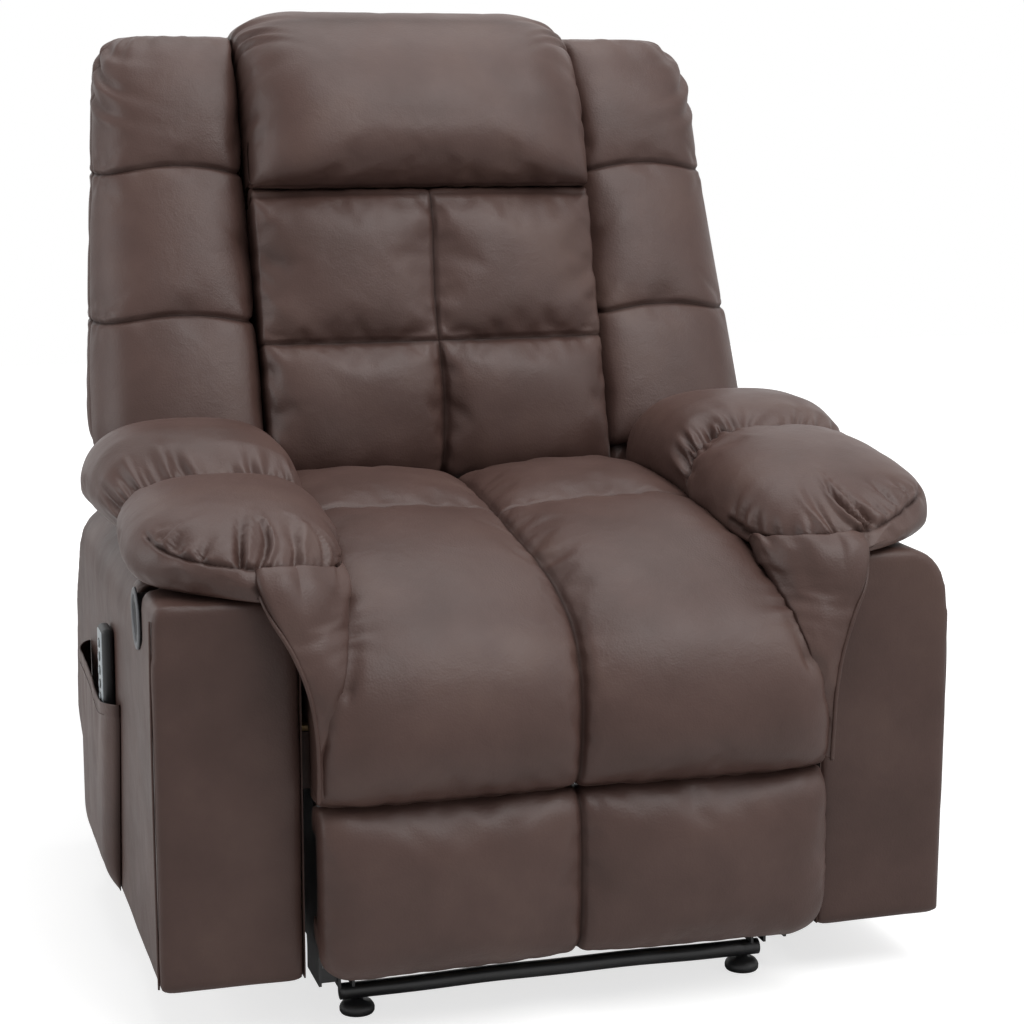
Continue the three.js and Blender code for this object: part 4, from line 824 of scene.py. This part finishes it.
def makeShell(name, facts):
    piece = addObject(name, nodes[facts["node"]].data.copy())
    piece.data.materials.clear()
    faceOutwards(piece)
    lying = math.atan(lean["slope"]) if "upright" in facts else 0.0
    turn = Matrix.Rotation(lying, 4, "X")  # so that the edges follow the voxels
    piece.data.transform(turn)
    applyModifier(piece, "REMESH", {"mode": "VOXEL", "voxel_size": facts["voxel"]})
    applyModifier(piece, "SMOOTH", {"factor": 0.5, "iterations": 9})
    piece.data.transform(turn.inverted())
    if "square" in facts:
        squareShoulder(piece, facts["square"], facts["rise"])
    places = readVectors(piece)
    pushOut(piece, softNoise(places, 0.13, 7) * 0.0016 + softNoise(places, 0.05, 8) * 0.0005)
    # even painted shade from the mask: colour times 0.90 and less specular
    paintShade(piece, 0.85)
    for face in piece.data.polygons:
        face.use_smooth = True
    coverWith(piece, {**facts, "fill": 0.9, "slot": "imitation_leather"}, leather)


# welts and stitches

def tubeAlong(name, points, radius, material, node=None, step=0.004, sides=8):
    line = alongCurve(points, np.linspace(0, 1, max(8, int(curveLength(points) / step))))
    ahead, first, second = crossways(line)
    turn = np.linspace(0, 2 * np.pi, sides, endpoint=False)[None, :, None]
    piece = closedLoft(name, line[:, None] + radius * (np.cos(turn) * first[:, None] + np.sin(turn) * second[:, None]))
    # even painted shade from the mask: colour times 0.87 and less specular
    paintShade(piece, 0.8)
    settle(piece, "chair_base", material, node)


def stitchesAlong(name, points, pitch=0.0042, length=0.0028, radius=0.00045):
    count = int(curveLength(points) / pitch)
    line = alongCurve(points, (np.arange(count) + 0.5) / count)
    corners = [corner * math.pi / 3 for corner in range(6)]
    points, faces = [], []
    for centre, axis, a, b in zip(line, *crossways(line)):
        start = len(points)
        for place, width in ((-0.5, 0.4), (-0.3, 1.0), (0.3, 1.0), (0.5, 0.4)):
            points += [centre + axis * place * length + radius * width * (math.cos(t) * a + math.sin(t) * b)
                       for t in corners]
        for ring in (start, start + 6, start + 12):
            faces += [(ring + c, ring + (c + 1) % 6, ring + (c + 1) % 6 + 6, ring + c + 6) for c in range(6)]
        faces += [range(start + 5, start - 1, -1), range(start + 18, start + 24)]
    settle(newPiece(name, points, faces), "chair_base", thread)


def trimArms(side):
    corner = [(0.4412, -0.3925, 0.066), (0.4418, -0.3930, 0.25), (0.4412, -0.3925, 0.40)]
    corner += [(0.4370, -0.3925, 0.437)] if side > 0 else [(0.4405, -0.3925, 0.455)]
    for name, line, radius in (("goreWelt", gore["outer"], 0.0024), ("armCornerSeam", corner, 0.0013)):
        line = [(x * side, y, z) for x, y, z in line]
        tubeAlong(name + sideWord(side), line, radius, leather)


# the lining on the inner side of each arm, and a strip that covers the seat rail's front end

lining = {
    "outline": [(-0.4035, 0.066), (-0.4035, 0.462), (-0.384, 0.462), (-0.384, 0.262), (0.102, 0.262), (0.102, 0.462),
                (0.241, 0.462), (0.322, 0.336), (0.3355, 0.245), (0.295, 0.245), (0.295, 0.147), (0.163, 0.076),
                (0.150, 0.070)],
    "innerX": 0.2893, "outerX": 0.2908, "railX": (0.2695, 0.2888), "railY": (-0.3848, -0.3822),
    "railZ": (0.2655, 0.3270),
}


def makeLining(side):
    outline, count = lining["outline"], len(lining["outline"])
    points = [(x * side, y, z) for x in (lining["innerX"], lining["outerX"]) for y, z in outline]
    faces = [range(count), range(2 * count - 1, count - 1, -1)]
    faces += [(i, i + count, (i + 1) % count + count, (i + 1) % count) for i in range(count)]
    sheet = newPiece("armLining" + sideWord(side), points, faces, smooth=False)
    near, far = sorted(x * side for x in lining["railX"])
    ends = [(x, lining["railY"][end], lining["railZ"][end]) for end, x in enumerate((near, far))]
    strip = roundedBox("railStrip" + sideWord(side), *ends, 0.0008, 2)
    for piece in (sheet, strip):
        # painted shade inside the arm: colour times 0.68 and less specular
        paintShade(piece, 0.5)
        settle(piece, "chair_base", leather)


# small pads that close the back between its wings and the arms

backSide = {
    "innerX": 0.2225, "outerX": 0.2860, "lowZ": 0.468, "topZ": 0.592, "frontDepth": 0.106, "rearDepth": 0.004,
    "corner": 0.55, "fill": 0.7,
}


def makeBackSide(side):
    facts = backSide
    turn = np.linspace(0, 2 * np.pi, 40, endpoint=False)[None, :]
    z = np.linspace(facts["lowZ"], facts["topZ"], 22)[:, None]
    share = (z - facts["lowZ"]) / (facts["topZ"] - facts["lowZ"])
    draw = 0.45 + 0.55 * bulge(nearest(share, 1 - share + 0.3), 0.30, 0.5)
    reach = [draw * np.sign(wave) * np.abs(wave) ** facts["corner"] / 2 for wave in (np.cos(turn), np.sin(turn))]
    x = (facts["innerX"] + facts["outerX"]) / 2 + (facts["outerX"] - facts["innerX"]) * reach[0]
    depth = (facts["frontDepth"] + facts["rearDepth"]) / 2 + (facts["frontDepth"] - facts["rearDepth"]) * reach[1]
    piece = closedLoft("backSide" + sideWord(side), onBack(x * side, depth, z + 0 * turn))
    subdivideOnce(piece)
    places = readVectors(piece)
    rumple = folds(0.44, 0.62, 0.022, 0.006, 0.2, 0.005, 0.8)
    pushOut(piece, gatherDepth(places[:, 2], np.abs(places[:, 0]) - 0.22, rumple, 180 + side))
    # even painted shade from the mask: colour times 0.94 and less specular
    paintShade(piece, 0.9)
    settle(piece, "backrest", leather)


# side pocket: a gusseted patch with a folded hem that sags a little at the handset

pocket = {
    "frontTop": (-0.124, 0.302), "frontLow": (-0.076, 0.066), "rearTop": (0.172, 0.309), "rearLow": (0.165, 0.066),
    "coverX": 0.4408, "bulge": 0.0165, "sag": 0.011, "hem": 0.016, "thickness": 0.0022, "width": 0.29, "height": 0.24,
    "body": "chair_base", "node": "side_pocket", "fill": 0.2, "slot": "imitation_leather",
}


def makePocket():
    facts, width, height = pocket, pocket["width"], pocket["height"]
    s, t = np.meshgrid(np.linspace(0, 1, 75), panelSteps([0, 1], height, 0.0045))
    frontY = facts["frontLow"][0] + (facts["frontTop"][0] - facts["frontLow"][0]) * t
    rearY = facts["rearLow"][0] + (facts["rearTop"][0] - facts["rearLow"][0]) * t
    y = frontY + (rearY - frontY) * s
    topZ = facts["frontTop"][1] + (facts["rearTop"][1] - facts["frontTop"][1]) * s
    topZ = topZ - facts["sag"] * hump(s - 0.24, 0.17)
    z = facts["frontLow"][1] + (topZ - facts["frontLow"][1]) * t
    fromSide, fromLow = nearest(s, 1 - s) * width, t * height
    swell = bulge(fromSide, 0.045) * bulge(fromLow, 0.05)
    hem = smoothStep(z, topZ - facts["hem"] - 0.001, topZ - facts["hem"] + 0.001)
    hanging = folds(0, width, 0.045, 0.010, 0.13, 0.0022)
    depth = gatherDepth(s * width, (1 - t) * height + 0.004, hanging, 190) * swell
    depth += gatherDepth(s * width, fromLow, {**hanging, "spacing": 0.03, "reach": 0.03, "depth": 0.0014}, 191)
    out = facts["coverX"] + 0.001 + facts["bulge"] * swell + 0.0009 * hem - 0.0006 * hump(fromSide - 0.006, 0.0015)
    out = out + depth * 0.6
    inner = np.maximum(out - facts["thickness"], facts["coverX"])
    piece = closedPanel("sidePocketPatch", np.dstack([-out, y, z]), np.dstack([-inner, y, z]))
    # painted shade: darker along the sides and bottom of the patch, and darkest on its inner face
    crown = 0.3 + 0.7 * bulge(fromSide, 0.01) * bulge(fromLow, 0.01)
    paintShade(piece, np.r_[crown.ravel(), np.zeros(crown.size)])
    coverWith(piece, facts, leather)
    hemLine = [(-(facts["coverX"] + 0.0024 + facts["bulge"] * a), b, c) for a, b, c in
               zip(swell[-1, ::6], y[-1, ::6], topZ[-1, ::6] - facts["hem"] * 0.85)]
    stitchesAlong("pocketHemStitches", hemLine[1:-1])


# hard pieces: boxes and rings from Blender's own operators, lofts for the latch, the front tube and the glides

def roundedBox(name, low, high, radius, segments=4):
    deselectAll()
    low, high = Vector(low), Vector(high)
    bpy.ops.mesh.primitive_cube_add(size=1, location=(low + high) / 2)
    piece = bpy.context.active_object
    piece.name = piece.data.name = name
    piece.scale = high - low
    bpy.ops.object.transform_apply(location=True, rotation=True, scale=True)
    applyModifier(piece, "BEVEL", {"width": radius, "segments": segments, "limit_method": "NONE"})
    bpy.ops.object.shade_smooth_by_angle(angle=math.radians(40))
    return piece


handset = {"low": (-0.4552, -0.0780, 0.2270), "high": (-0.4407, -0.0340, 0.3770), "edge": 0.0052,
           "plateInset": 0.0042, "plateDepth": 0.0030, "plateEdge": 0.0012,
           "keyZ": (0.358, 0.342, 0.326, 0.310, 0.294), "keyY": -0.056, "keyRing": 0.0053, "ringThickness": 0.0006}


def makeHandset():
    low, high, gap = Vector(handset["low"]), Vector(handset["high"]), handset["plateInset"]
    shell = roundedBox("handsetBody", low + Vector((0.0012, 0, 0)), high, handset["edge"], 6)
    settle(shell, "handset", nylon, "handset_shell")
    front = low.x + 0.0004
    plate = roundedBox("handsetPlate", (front, low.y + gap, low.z + gap),
                       (low.x + handset["plateDepth"], high.y - gap, high.z - gap), handset["plateEdge"], 3)
    settle(plate, "handset", silverAbs)
    for number, z in enumerate(handset["keyZ"]):
        deselectAll()
        bpy.ops.mesh.primitive_torus_add(
            major_radius=handset["keyRing"], minor_radius=handset["ringThickness"], major_segments=40,
            minor_segments=8, location=(front, handset["keyY"], z), rotation=(0, math.pi / 2, 0))
        ring = bpy.context.active_object
        ring.name = ring.data.name = f"keyRing{number + 1}"
        bpy.ops.object.transform_apply(location=True, rotation=True, scale=True)
        bpy.ops.object.shade_smooth()
        settle(ring, "handset", nylon)


latch = {
    "centre": (-0.292, 0.437), "halfWidth": 0.026, "halfHeight": 0.033, "lean": 20.0, "faceX": 0.4403,
    # how far each ring lies inside the bezel's edge, and how far it stands out from its face
    "bezel": [(0.0064, -0.0255), (0.0062, 0), (0, 0), (-0.0002, 0.0012), (0.0006, 0.0024), (0.0022, 0.0029),
              (0.0050, 0.0029), (0.0068, 0.0022), (0.0076, 0.0006), (0.0082, -0.0200), (0.0110, -0.0238)],
    "paddle": [(0.0098, -0.0020), (0.0092, -0.0014), (0.0090, 0.0008), (0.0096, 0.0017), (0.0112, 0.0020),
               (0.0140, 0.0018), (0.0180, 0.0008), (0.0225, 0.0004)],
    "paddleRear": 0.32,  # the paddle covers only this share of the rear half
}


def latchLoft(name, rings, flat):  # flat draws in the rear half
    turn, lying = np.linspace(0, 2 * np.pi, 72, endpoint=False), math.radians(latch["lean"])
    made = []
    for inset, proud in rings:
        across = np.cos(turn) * (latch["halfWidth"] - inset)
        across = np.where(across > 0, across * flat, across)
        up = np.sin(turn) * (latch["halfHeight"] - inset)
        y = latch["centre"][0] + across * math.cos(lying) + up * math.sin(lying)
        z = latch["centre"][1] - across * math.sin(lying) + up * math.cos(lying)
        made.append(np.stack([np.full_like(y, -latch["faceX"] - proud), y, z], axis=1))
    return closedLoft(name, np.stack(made))


def makeLatch():
    bezel = latchLoft("latchBezelRing", latch["bezel"], 1.0)
    settle(bezel, "chair_base", greyAbs, "latch_bezel")
    paddle = latchLoft("latchPaddlePlate", latch["paddle"], latch["paddleRear"])
    settle(paddle, "latch", nylon, "latch_paddle")


# the bowed tube in front of the base, and the four glides

feet = {
    "tubeY": -0.349, "bow": 0.026, "rise": 0.012, "z": 0.025, "radius": 0.009, "endX": 0.242, "bendX": 0.163,
    "glideX": 0.223,
    "glideY": {"front": -0.349, "rear": 0.262},
    # radius and height, from the floor up to the stem
    "profile": [(0.0150, 0.0), (0.0178, 0.0006), (0.0190, 0.0026), (0.0192, 0.0060), (0.0184, 0.0086),
                (0.0160, 0.0118), (0.0125, 0.0136), (0.0075, 0.0142), (0.0062, 0.0158)],
}


def makeFeet():
    half = [(feet["endX"], 0, 0), (feet["glideX"], 0, 0), (feet["bendX"], 0.55, 0.5), (feet["bendX"] / 2, 0.9, 0.95)]
    place = [(-x, feet["tubeY"] - feet["bow"] * bow, feet["z"] + feet["rise"] * rise) for x, bow, rise in half]
    place += [(0, feet["tubeY"] - feet["bow"], feet["z"] + feet["rise"])]
    place += [(-x, y, z) for x, y, z in place[-2::-1]]
    tubeAlong("frontTube", place, feet["radius"], steel, "front_cross_tube", 0.005, 24)
    turn = np.linspace(0, 2 * np.pi, 40, endpoint=False)
    for end, y in feet["glideY"].items():
        for side in (1, -1):
            name = f"{end}_{sideWord(side).lower()}"
            rings = [np.stack([side * feet["glideX"] + r * np.cos(turn), y + r * np.sin(turn), np.full_like(turn, z)],
                              axis=1) for r, z in feet["profile"]]
            foot = closedLoft("foot_" + name, np.stack(rings))
            settle(foot, "chair_base", nylon, "glide_" + name)


# materials

def toLinear(hexColour):
    channels = [int(hexColour[i:i + 2], 16) / 255 for i in (1, 3, 5)]
    return (*[c / 12.92 if c <= 0.04045 else ((c + 0.055) / 1.055) ** 2.4 for c in channels], 1.0)


def addNode(tree, kind, settings=None, links=None):
    node = tree.nodes.new("ShaderNode" + kind)
    for key, value in (settings or {}).items():
        if isinstance(key, int) or key in node.inputs:
            node.inputs[key].default_value = value
        else:
            setattr(node, key, value)
    for key, source in (links or {}).items():
        tree.links.new(source, node.inputs[key])
    return node


def join(tree, node, sources):
    for key, source in sources.items():
        tree.links.new(source, node.inputs[key])


def startMaterial(name):
    material = bpy.data.materials.new(name)
    material.use_nodes = True
    tree = material.node_tree
    tree.nodes.clear()
    shader = addNode(tree, "BsdfPrincipled")
    addNode(tree, "OutputMaterial", {}, {"Surface": shader.outputs["BSDF"]})
    return material, tree, shader, addNode(tree, "TexCoord").outputs["Object"]


def noise(tree, place, scale, detail, **more):
    return addNode(tree, "TexNoise", {"Scale": scale, "Detail": detail, **more}, {"Vector": place}).outputs["Fac"]


def between(tree, source, low, high):
    return addNode(tree, "MapRange", {"To Min": low, "To Max": high}, {"Value": source}).outputs["Result"]


def bump(tree, height, strength, distance, under=None):
    links = {"Height": height, "Normal": under} if under else {"Height": height}
    return addNode(tree, "Bump", {"Strength": strength, "Distance": distance}, links).outputs["Normal"]


def tones(tree, factor, stops):
    ramp = addNode(tree, "ValToRGB", {}, {"Fac": factor})
    for number, (place, colour) in enumerate(stops):
        if number >= len(ramp.color_ramp.elements):
            ramp.color_ramp.elements.new(place)
        ramp.color_ramp.elements[number].position = place
        ramp.color_ramp.elements[number].color = toLinear(colour)
    return ramp.outputs["Color"]


def polyurethaneLeather():
    # polyurethane skin embossed with a fine pebble and calendered to a soft satin: it shines broadly
    # on crowns; in the seams the crown mask paints shade, a darker base colour and less specular
    material, tree, shader, place = startMaterial("polyurethaneLeather")
    crown = addNode(tree, "Attribute", {"attribute_name": "crown"}).outputs["Fac"]
    cloud = noise(tree, place, 9.0, 4.0, Roughness=0.55)
    tone = tones(tree, cloud, [(0.30, "#412F2A"), (0.52, "#493631"), (0.72, "#503D37")])
    # painted shade: the base colour is scaled from 0.36 in the seams up to 1 on the crowns
    shade = addNode(tree, "VectorMath", {"operation": "SCALE"},
                    {"Vector": tone, "Scale": between(tree, crown, 0.36, 1.0)})
    pebble = addNode(tree, "TexVoronoi", {"Scale": 420.0, "Randomness": 1.0}, {"Vector": place})  # 2.4 mm
    grain = addNode(tree, "Math", {"operation": "MULTIPLY_ADD", 1: 0.5},
                    {0: noise(tree, place, 700.0, 2.0), 2: pebble.outputs["Distance"]})
    fine = bump(tree, grain.outputs["Value"], 0.22, 0.0006)
    rumple = noise(tree, place, 34.0, 3.0, Distortion=0.6)
    join(tree, shader, {
        "Base Color": shade.outputs["Vector"],
        "Roughness": between(tree, noise(tree, place, 26.0, 3.0), 0.38, 0.52),
        "Normal": bump(tree, rumple, 0.25, 0.003, fine),
        "Specular IOR Level": between(tree, crown, 0.03, 0.28),
    })
    return material


def powderCoatedSteel():  # black polyester powder, satin, with cloudy greyer wear
    material, tree, shader, place = startMaterial("powderCoatedSteel")
    cloud = noise(tree, place, 30.0, 4.0)
    join(tree, shader, {
        "Base Color": tones(tree, cloud, [(0.3, "#141415"), (0.6, "#1D1D1F"), (0.8, "#2A2A2C")]),
        "Normal": bump(tree, noise(tree, place, 520.0, 1.0), 0.12, 0.0004),  # 2 mm orange peel
        "Roughness": between(tree, cloud, 0.30, 0.46),
    })
    return material


def speckledMaterial(name, colours, roughness, metallic, grain, strength):
    material, tree, shader, place = startMaterial(name)
    speck = noise(tree, place, grain, 2.0)
    join(tree, shader, {
        "Base Color": tones(tree, noise(tree, place, 24.0, 5.0), [(0.3, colours[0]), (0.7, colours[1])]),
        "Normal": bump(tree, speck, strength, 0.0005),
        "Roughness": between(tree, speck, roughness - 0.06, roughness + 0.06),
    })
    shader.inputs["Metallic"].default_value = metallic
    return material


def birchPlywood():  # rotary-cut birch, unfinished: long pale figure
    material, tree, shader, place = startMaterial("birchPlywood")
    stretch = addNode(tree, "Mapping", {"Scale": (3.0, 18.0, 18.0)}, {"Vector": place})
    figure = noise(tree, stretch.outputs["Vector"], 6.0, 6.0, Distortion=1.2)
    join(tree, shader, {
        "Base Color": tones(tree, figure, [(0.3, "#9C7A4E"), (0.5, "#B9976A"), (0.75, "#CBAE82")]),
        "Normal": bump(tree, figure, 0.2, 0.0005),
    })
    shader.inputs["Roughness"].default_value = 0.72
    return material


leather = polyurethaneLeather()
steel = powderCoatedSteel()
plywood = birchPlywood()
springWire = speckledMaterial("oiledSpringWire", ("#6E6E6C", "#8E8E8A"), 0.38, 1.0, 300.0, 0.1)
nylon = speckledMaterial("mouldedNylon", ("#161617", "#202022"), 0.48, 0.0, 900.0, 0.25)
greyAbs = speckledMaterial("mouldedAbsGrey", ("#4C4D50", "#5A5B5E"), 0.42, 0.0, 900.0, 0.2)
silverAbs = speckledMaterial("lacqueredAbsSilver", ("#8F969A", "#A6ADB1"), 0.34, 0.35, 700.0, 0.12)
thread = speckledMaterial("polyesterThread", ("#3A2C27", "#4A3A33"), 0.6, 0.0, 1500.0, 0.4)
print("materials ready")

slotFinish = {"black_steel": steel, "plywood": plywood, "spring_steel": springWire, "black_plastic": nylon,
              "grey_plastic": greyAbs, "silver_plastic": silverAbs, "imitation_leather": leather,
              "padded_imitation_leather": leather}
for entry in frame["record"]["subparts"]:
    node = nodes[entry.get("node") or entry["name"]]
    node.data.materials.clear()
    node.data.materials.append(slotFinish[entry["material_slot"]])

seatPiece = makeSeat()
makeFootrest()
makeBackPads()
makeHeadPillow()
print("seat, footrest and back ready")
armPads = {}
for side in (1, -1):
    makeWing(side)
    armPads[side] = makeArmPad(side)
    makeGore(side)
    makeBackSide(side)
    makeLining(side)
    trimArms(side)
print("wings and arms ready")
for name, facts in shells.items():
    makeShell(name, facts)
makePocket()
print("covers ready")
makeHandset()
makeLatch()
makeFeet()
print("hard pieces ready")


# studio: a camera at the photograph's angle, a pale floor and soft light

studio = {
    "camera": (-0.73517, -2.66823, 0.97085), "yaw": 16.494, "pitch": 10.112, "lens": 81.41,
    "floor": 12.0, "glow": (1.70, 2.45), "glowFrom": (0.9, 2.6), "glowShare": 0.42, "air": 0.235,
}
lamps = {
    "keyLamp": {"at": (0.8, -2.0, 3.3), "size": 2.2, "power": 84},
    "leftLamp": {"at": (-2.9, 0.1, 1.3), "size": 1.6, "power": 26},
    "rightLamp": {"at": (2.5, -1.8, 2.2), "size": 2.2, "power": 22},
    "topLamp": {"at": (0.1, 0.4, 3.4), "size": 2.4, "power": 44},
}


def setCamera():
    data = bpy.data.cameras.new("photoCamera")
    data.sensor_width, data.lens = 36.0, studio["lens"]
    data.clip_start, data.clip_end = 0.05, 60
    camera = addObject("photoCamera", data)
    yaw, pitch = math.radians(studio["yaw"]), math.radians(studio["pitch"])
    ahead = Vector((math.sin(yaw) * math.cos(pitch), math.cos(yaw) * math.cos(pitch), -math.sin(pitch)))
    camera.location = studio["camera"]
    camera.rotation_euler = ahead.to_track_quat("-Z", "Y").to_euler()
    bpy.context.scene.camera = camera


def layFloor():
    deselectAll()
    bpy.ops.mesh.primitive_plane_add(size=studio["floor"], location=(0, 0, -0.0005))
    floor = bpy.context.active_object
    floor.name = "studioFloor"
    bpy.ops.object.transform_apply(location=True, rotation=True, scale=True)
    material, tree, shader, place = startMaterial("paleFloor")
    shader.inputs["Base Color"].default_value = toLinear("#F4F4F3")
    shader.inputs["Roughness"].default_value = 0.9
    far = addNode(tree, "VectorMath", {"operation": "LENGTH"}, {"Vector": place})
    fade = addNode(tree, "MapRange", {"From Min": studio["glowFrom"][0], "From Max": studio["glowFrom"][1],
                                      "To Min": studio["glow"][0], "To Max": studio["glow"][1]},
                   {"Value": far.outputs["Value"]})
    glow = addNode(tree, "Emission", {"Color": (1, 1, 1, 1)}, {"Strength": fade.outputs["Result"]})
    seen = addNode(tree, "LightPath").outputs["Is Camera Ray"]
    share = addNode(tree, "Math", {"operation": "MULTIPLY", 1: studio["glowShare"]}, {0: seen})
    mix = addNode(tree, "MixShader", {}, {0: share.outputs["Value"], 1: shader.outputs["BSDF"],
                                          2: glow.outputs["Emission"]})
    output = next(n for n in tree.nodes if n.type == "OUTPUT_MATERIAL")
    join(tree, output, {"Surface": mix.outputs["Shader"]})
    floor.data.materials.append(material)


def lightStudio():
    world = bpy.data.worlds.new("studioAir")
    bpy.context.scene.world = world
    world.use_nodes = True
    tree = world.node_tree
    tree.nodes.clear()
    seen = addNode(tree, "LightPath").outputs
    air = addNode(tree, "Background", {"Color": toLinear("#F3F5F8"), "Strength": studio["air"]})
    white = addNode(tree, "Background", {"Color": (1, 1, 1, 1), "Strength": 1.0})
    bent = addNode(tree, "Math", {"operation": "MAXIMUM"}, {0: seen["Is Glossy Ray"], 1: seen["Is Transmission Ray"]})
    either = addNode(tree, "Math", {"operation": "MAXIMUM"}, {0: seen["Is Camera Ray"], 1: bent.outputs["Value"]})
    mix = addNode(tree, "MixShader", {}, {0: either.outputs["Value"], 1: air.outputs["Background"],
                                          2: white.outputs["Background"]})
    addNode(tree, "OutputWorld", {}, {"Surface": mix.outputs["Shader"]})
    for name, facts in lamps.items():
        data = bpy.data.lights.new(name, "AREA")
        data.size, data.energy = facts["size"], facts["power"]
        lamp = addObject(name, data)
        lamp.location = facts["at"]
        lamp.rotation_euler = (Vector((0, 0, 0.5)) - lamp.location).to_track_quat("-Z", "Y").to_euler()


setCamera()
layFloor()
lightStudio()
bpy.context.scene.view_settings.view_transform = "Standard"
print("studio ready")
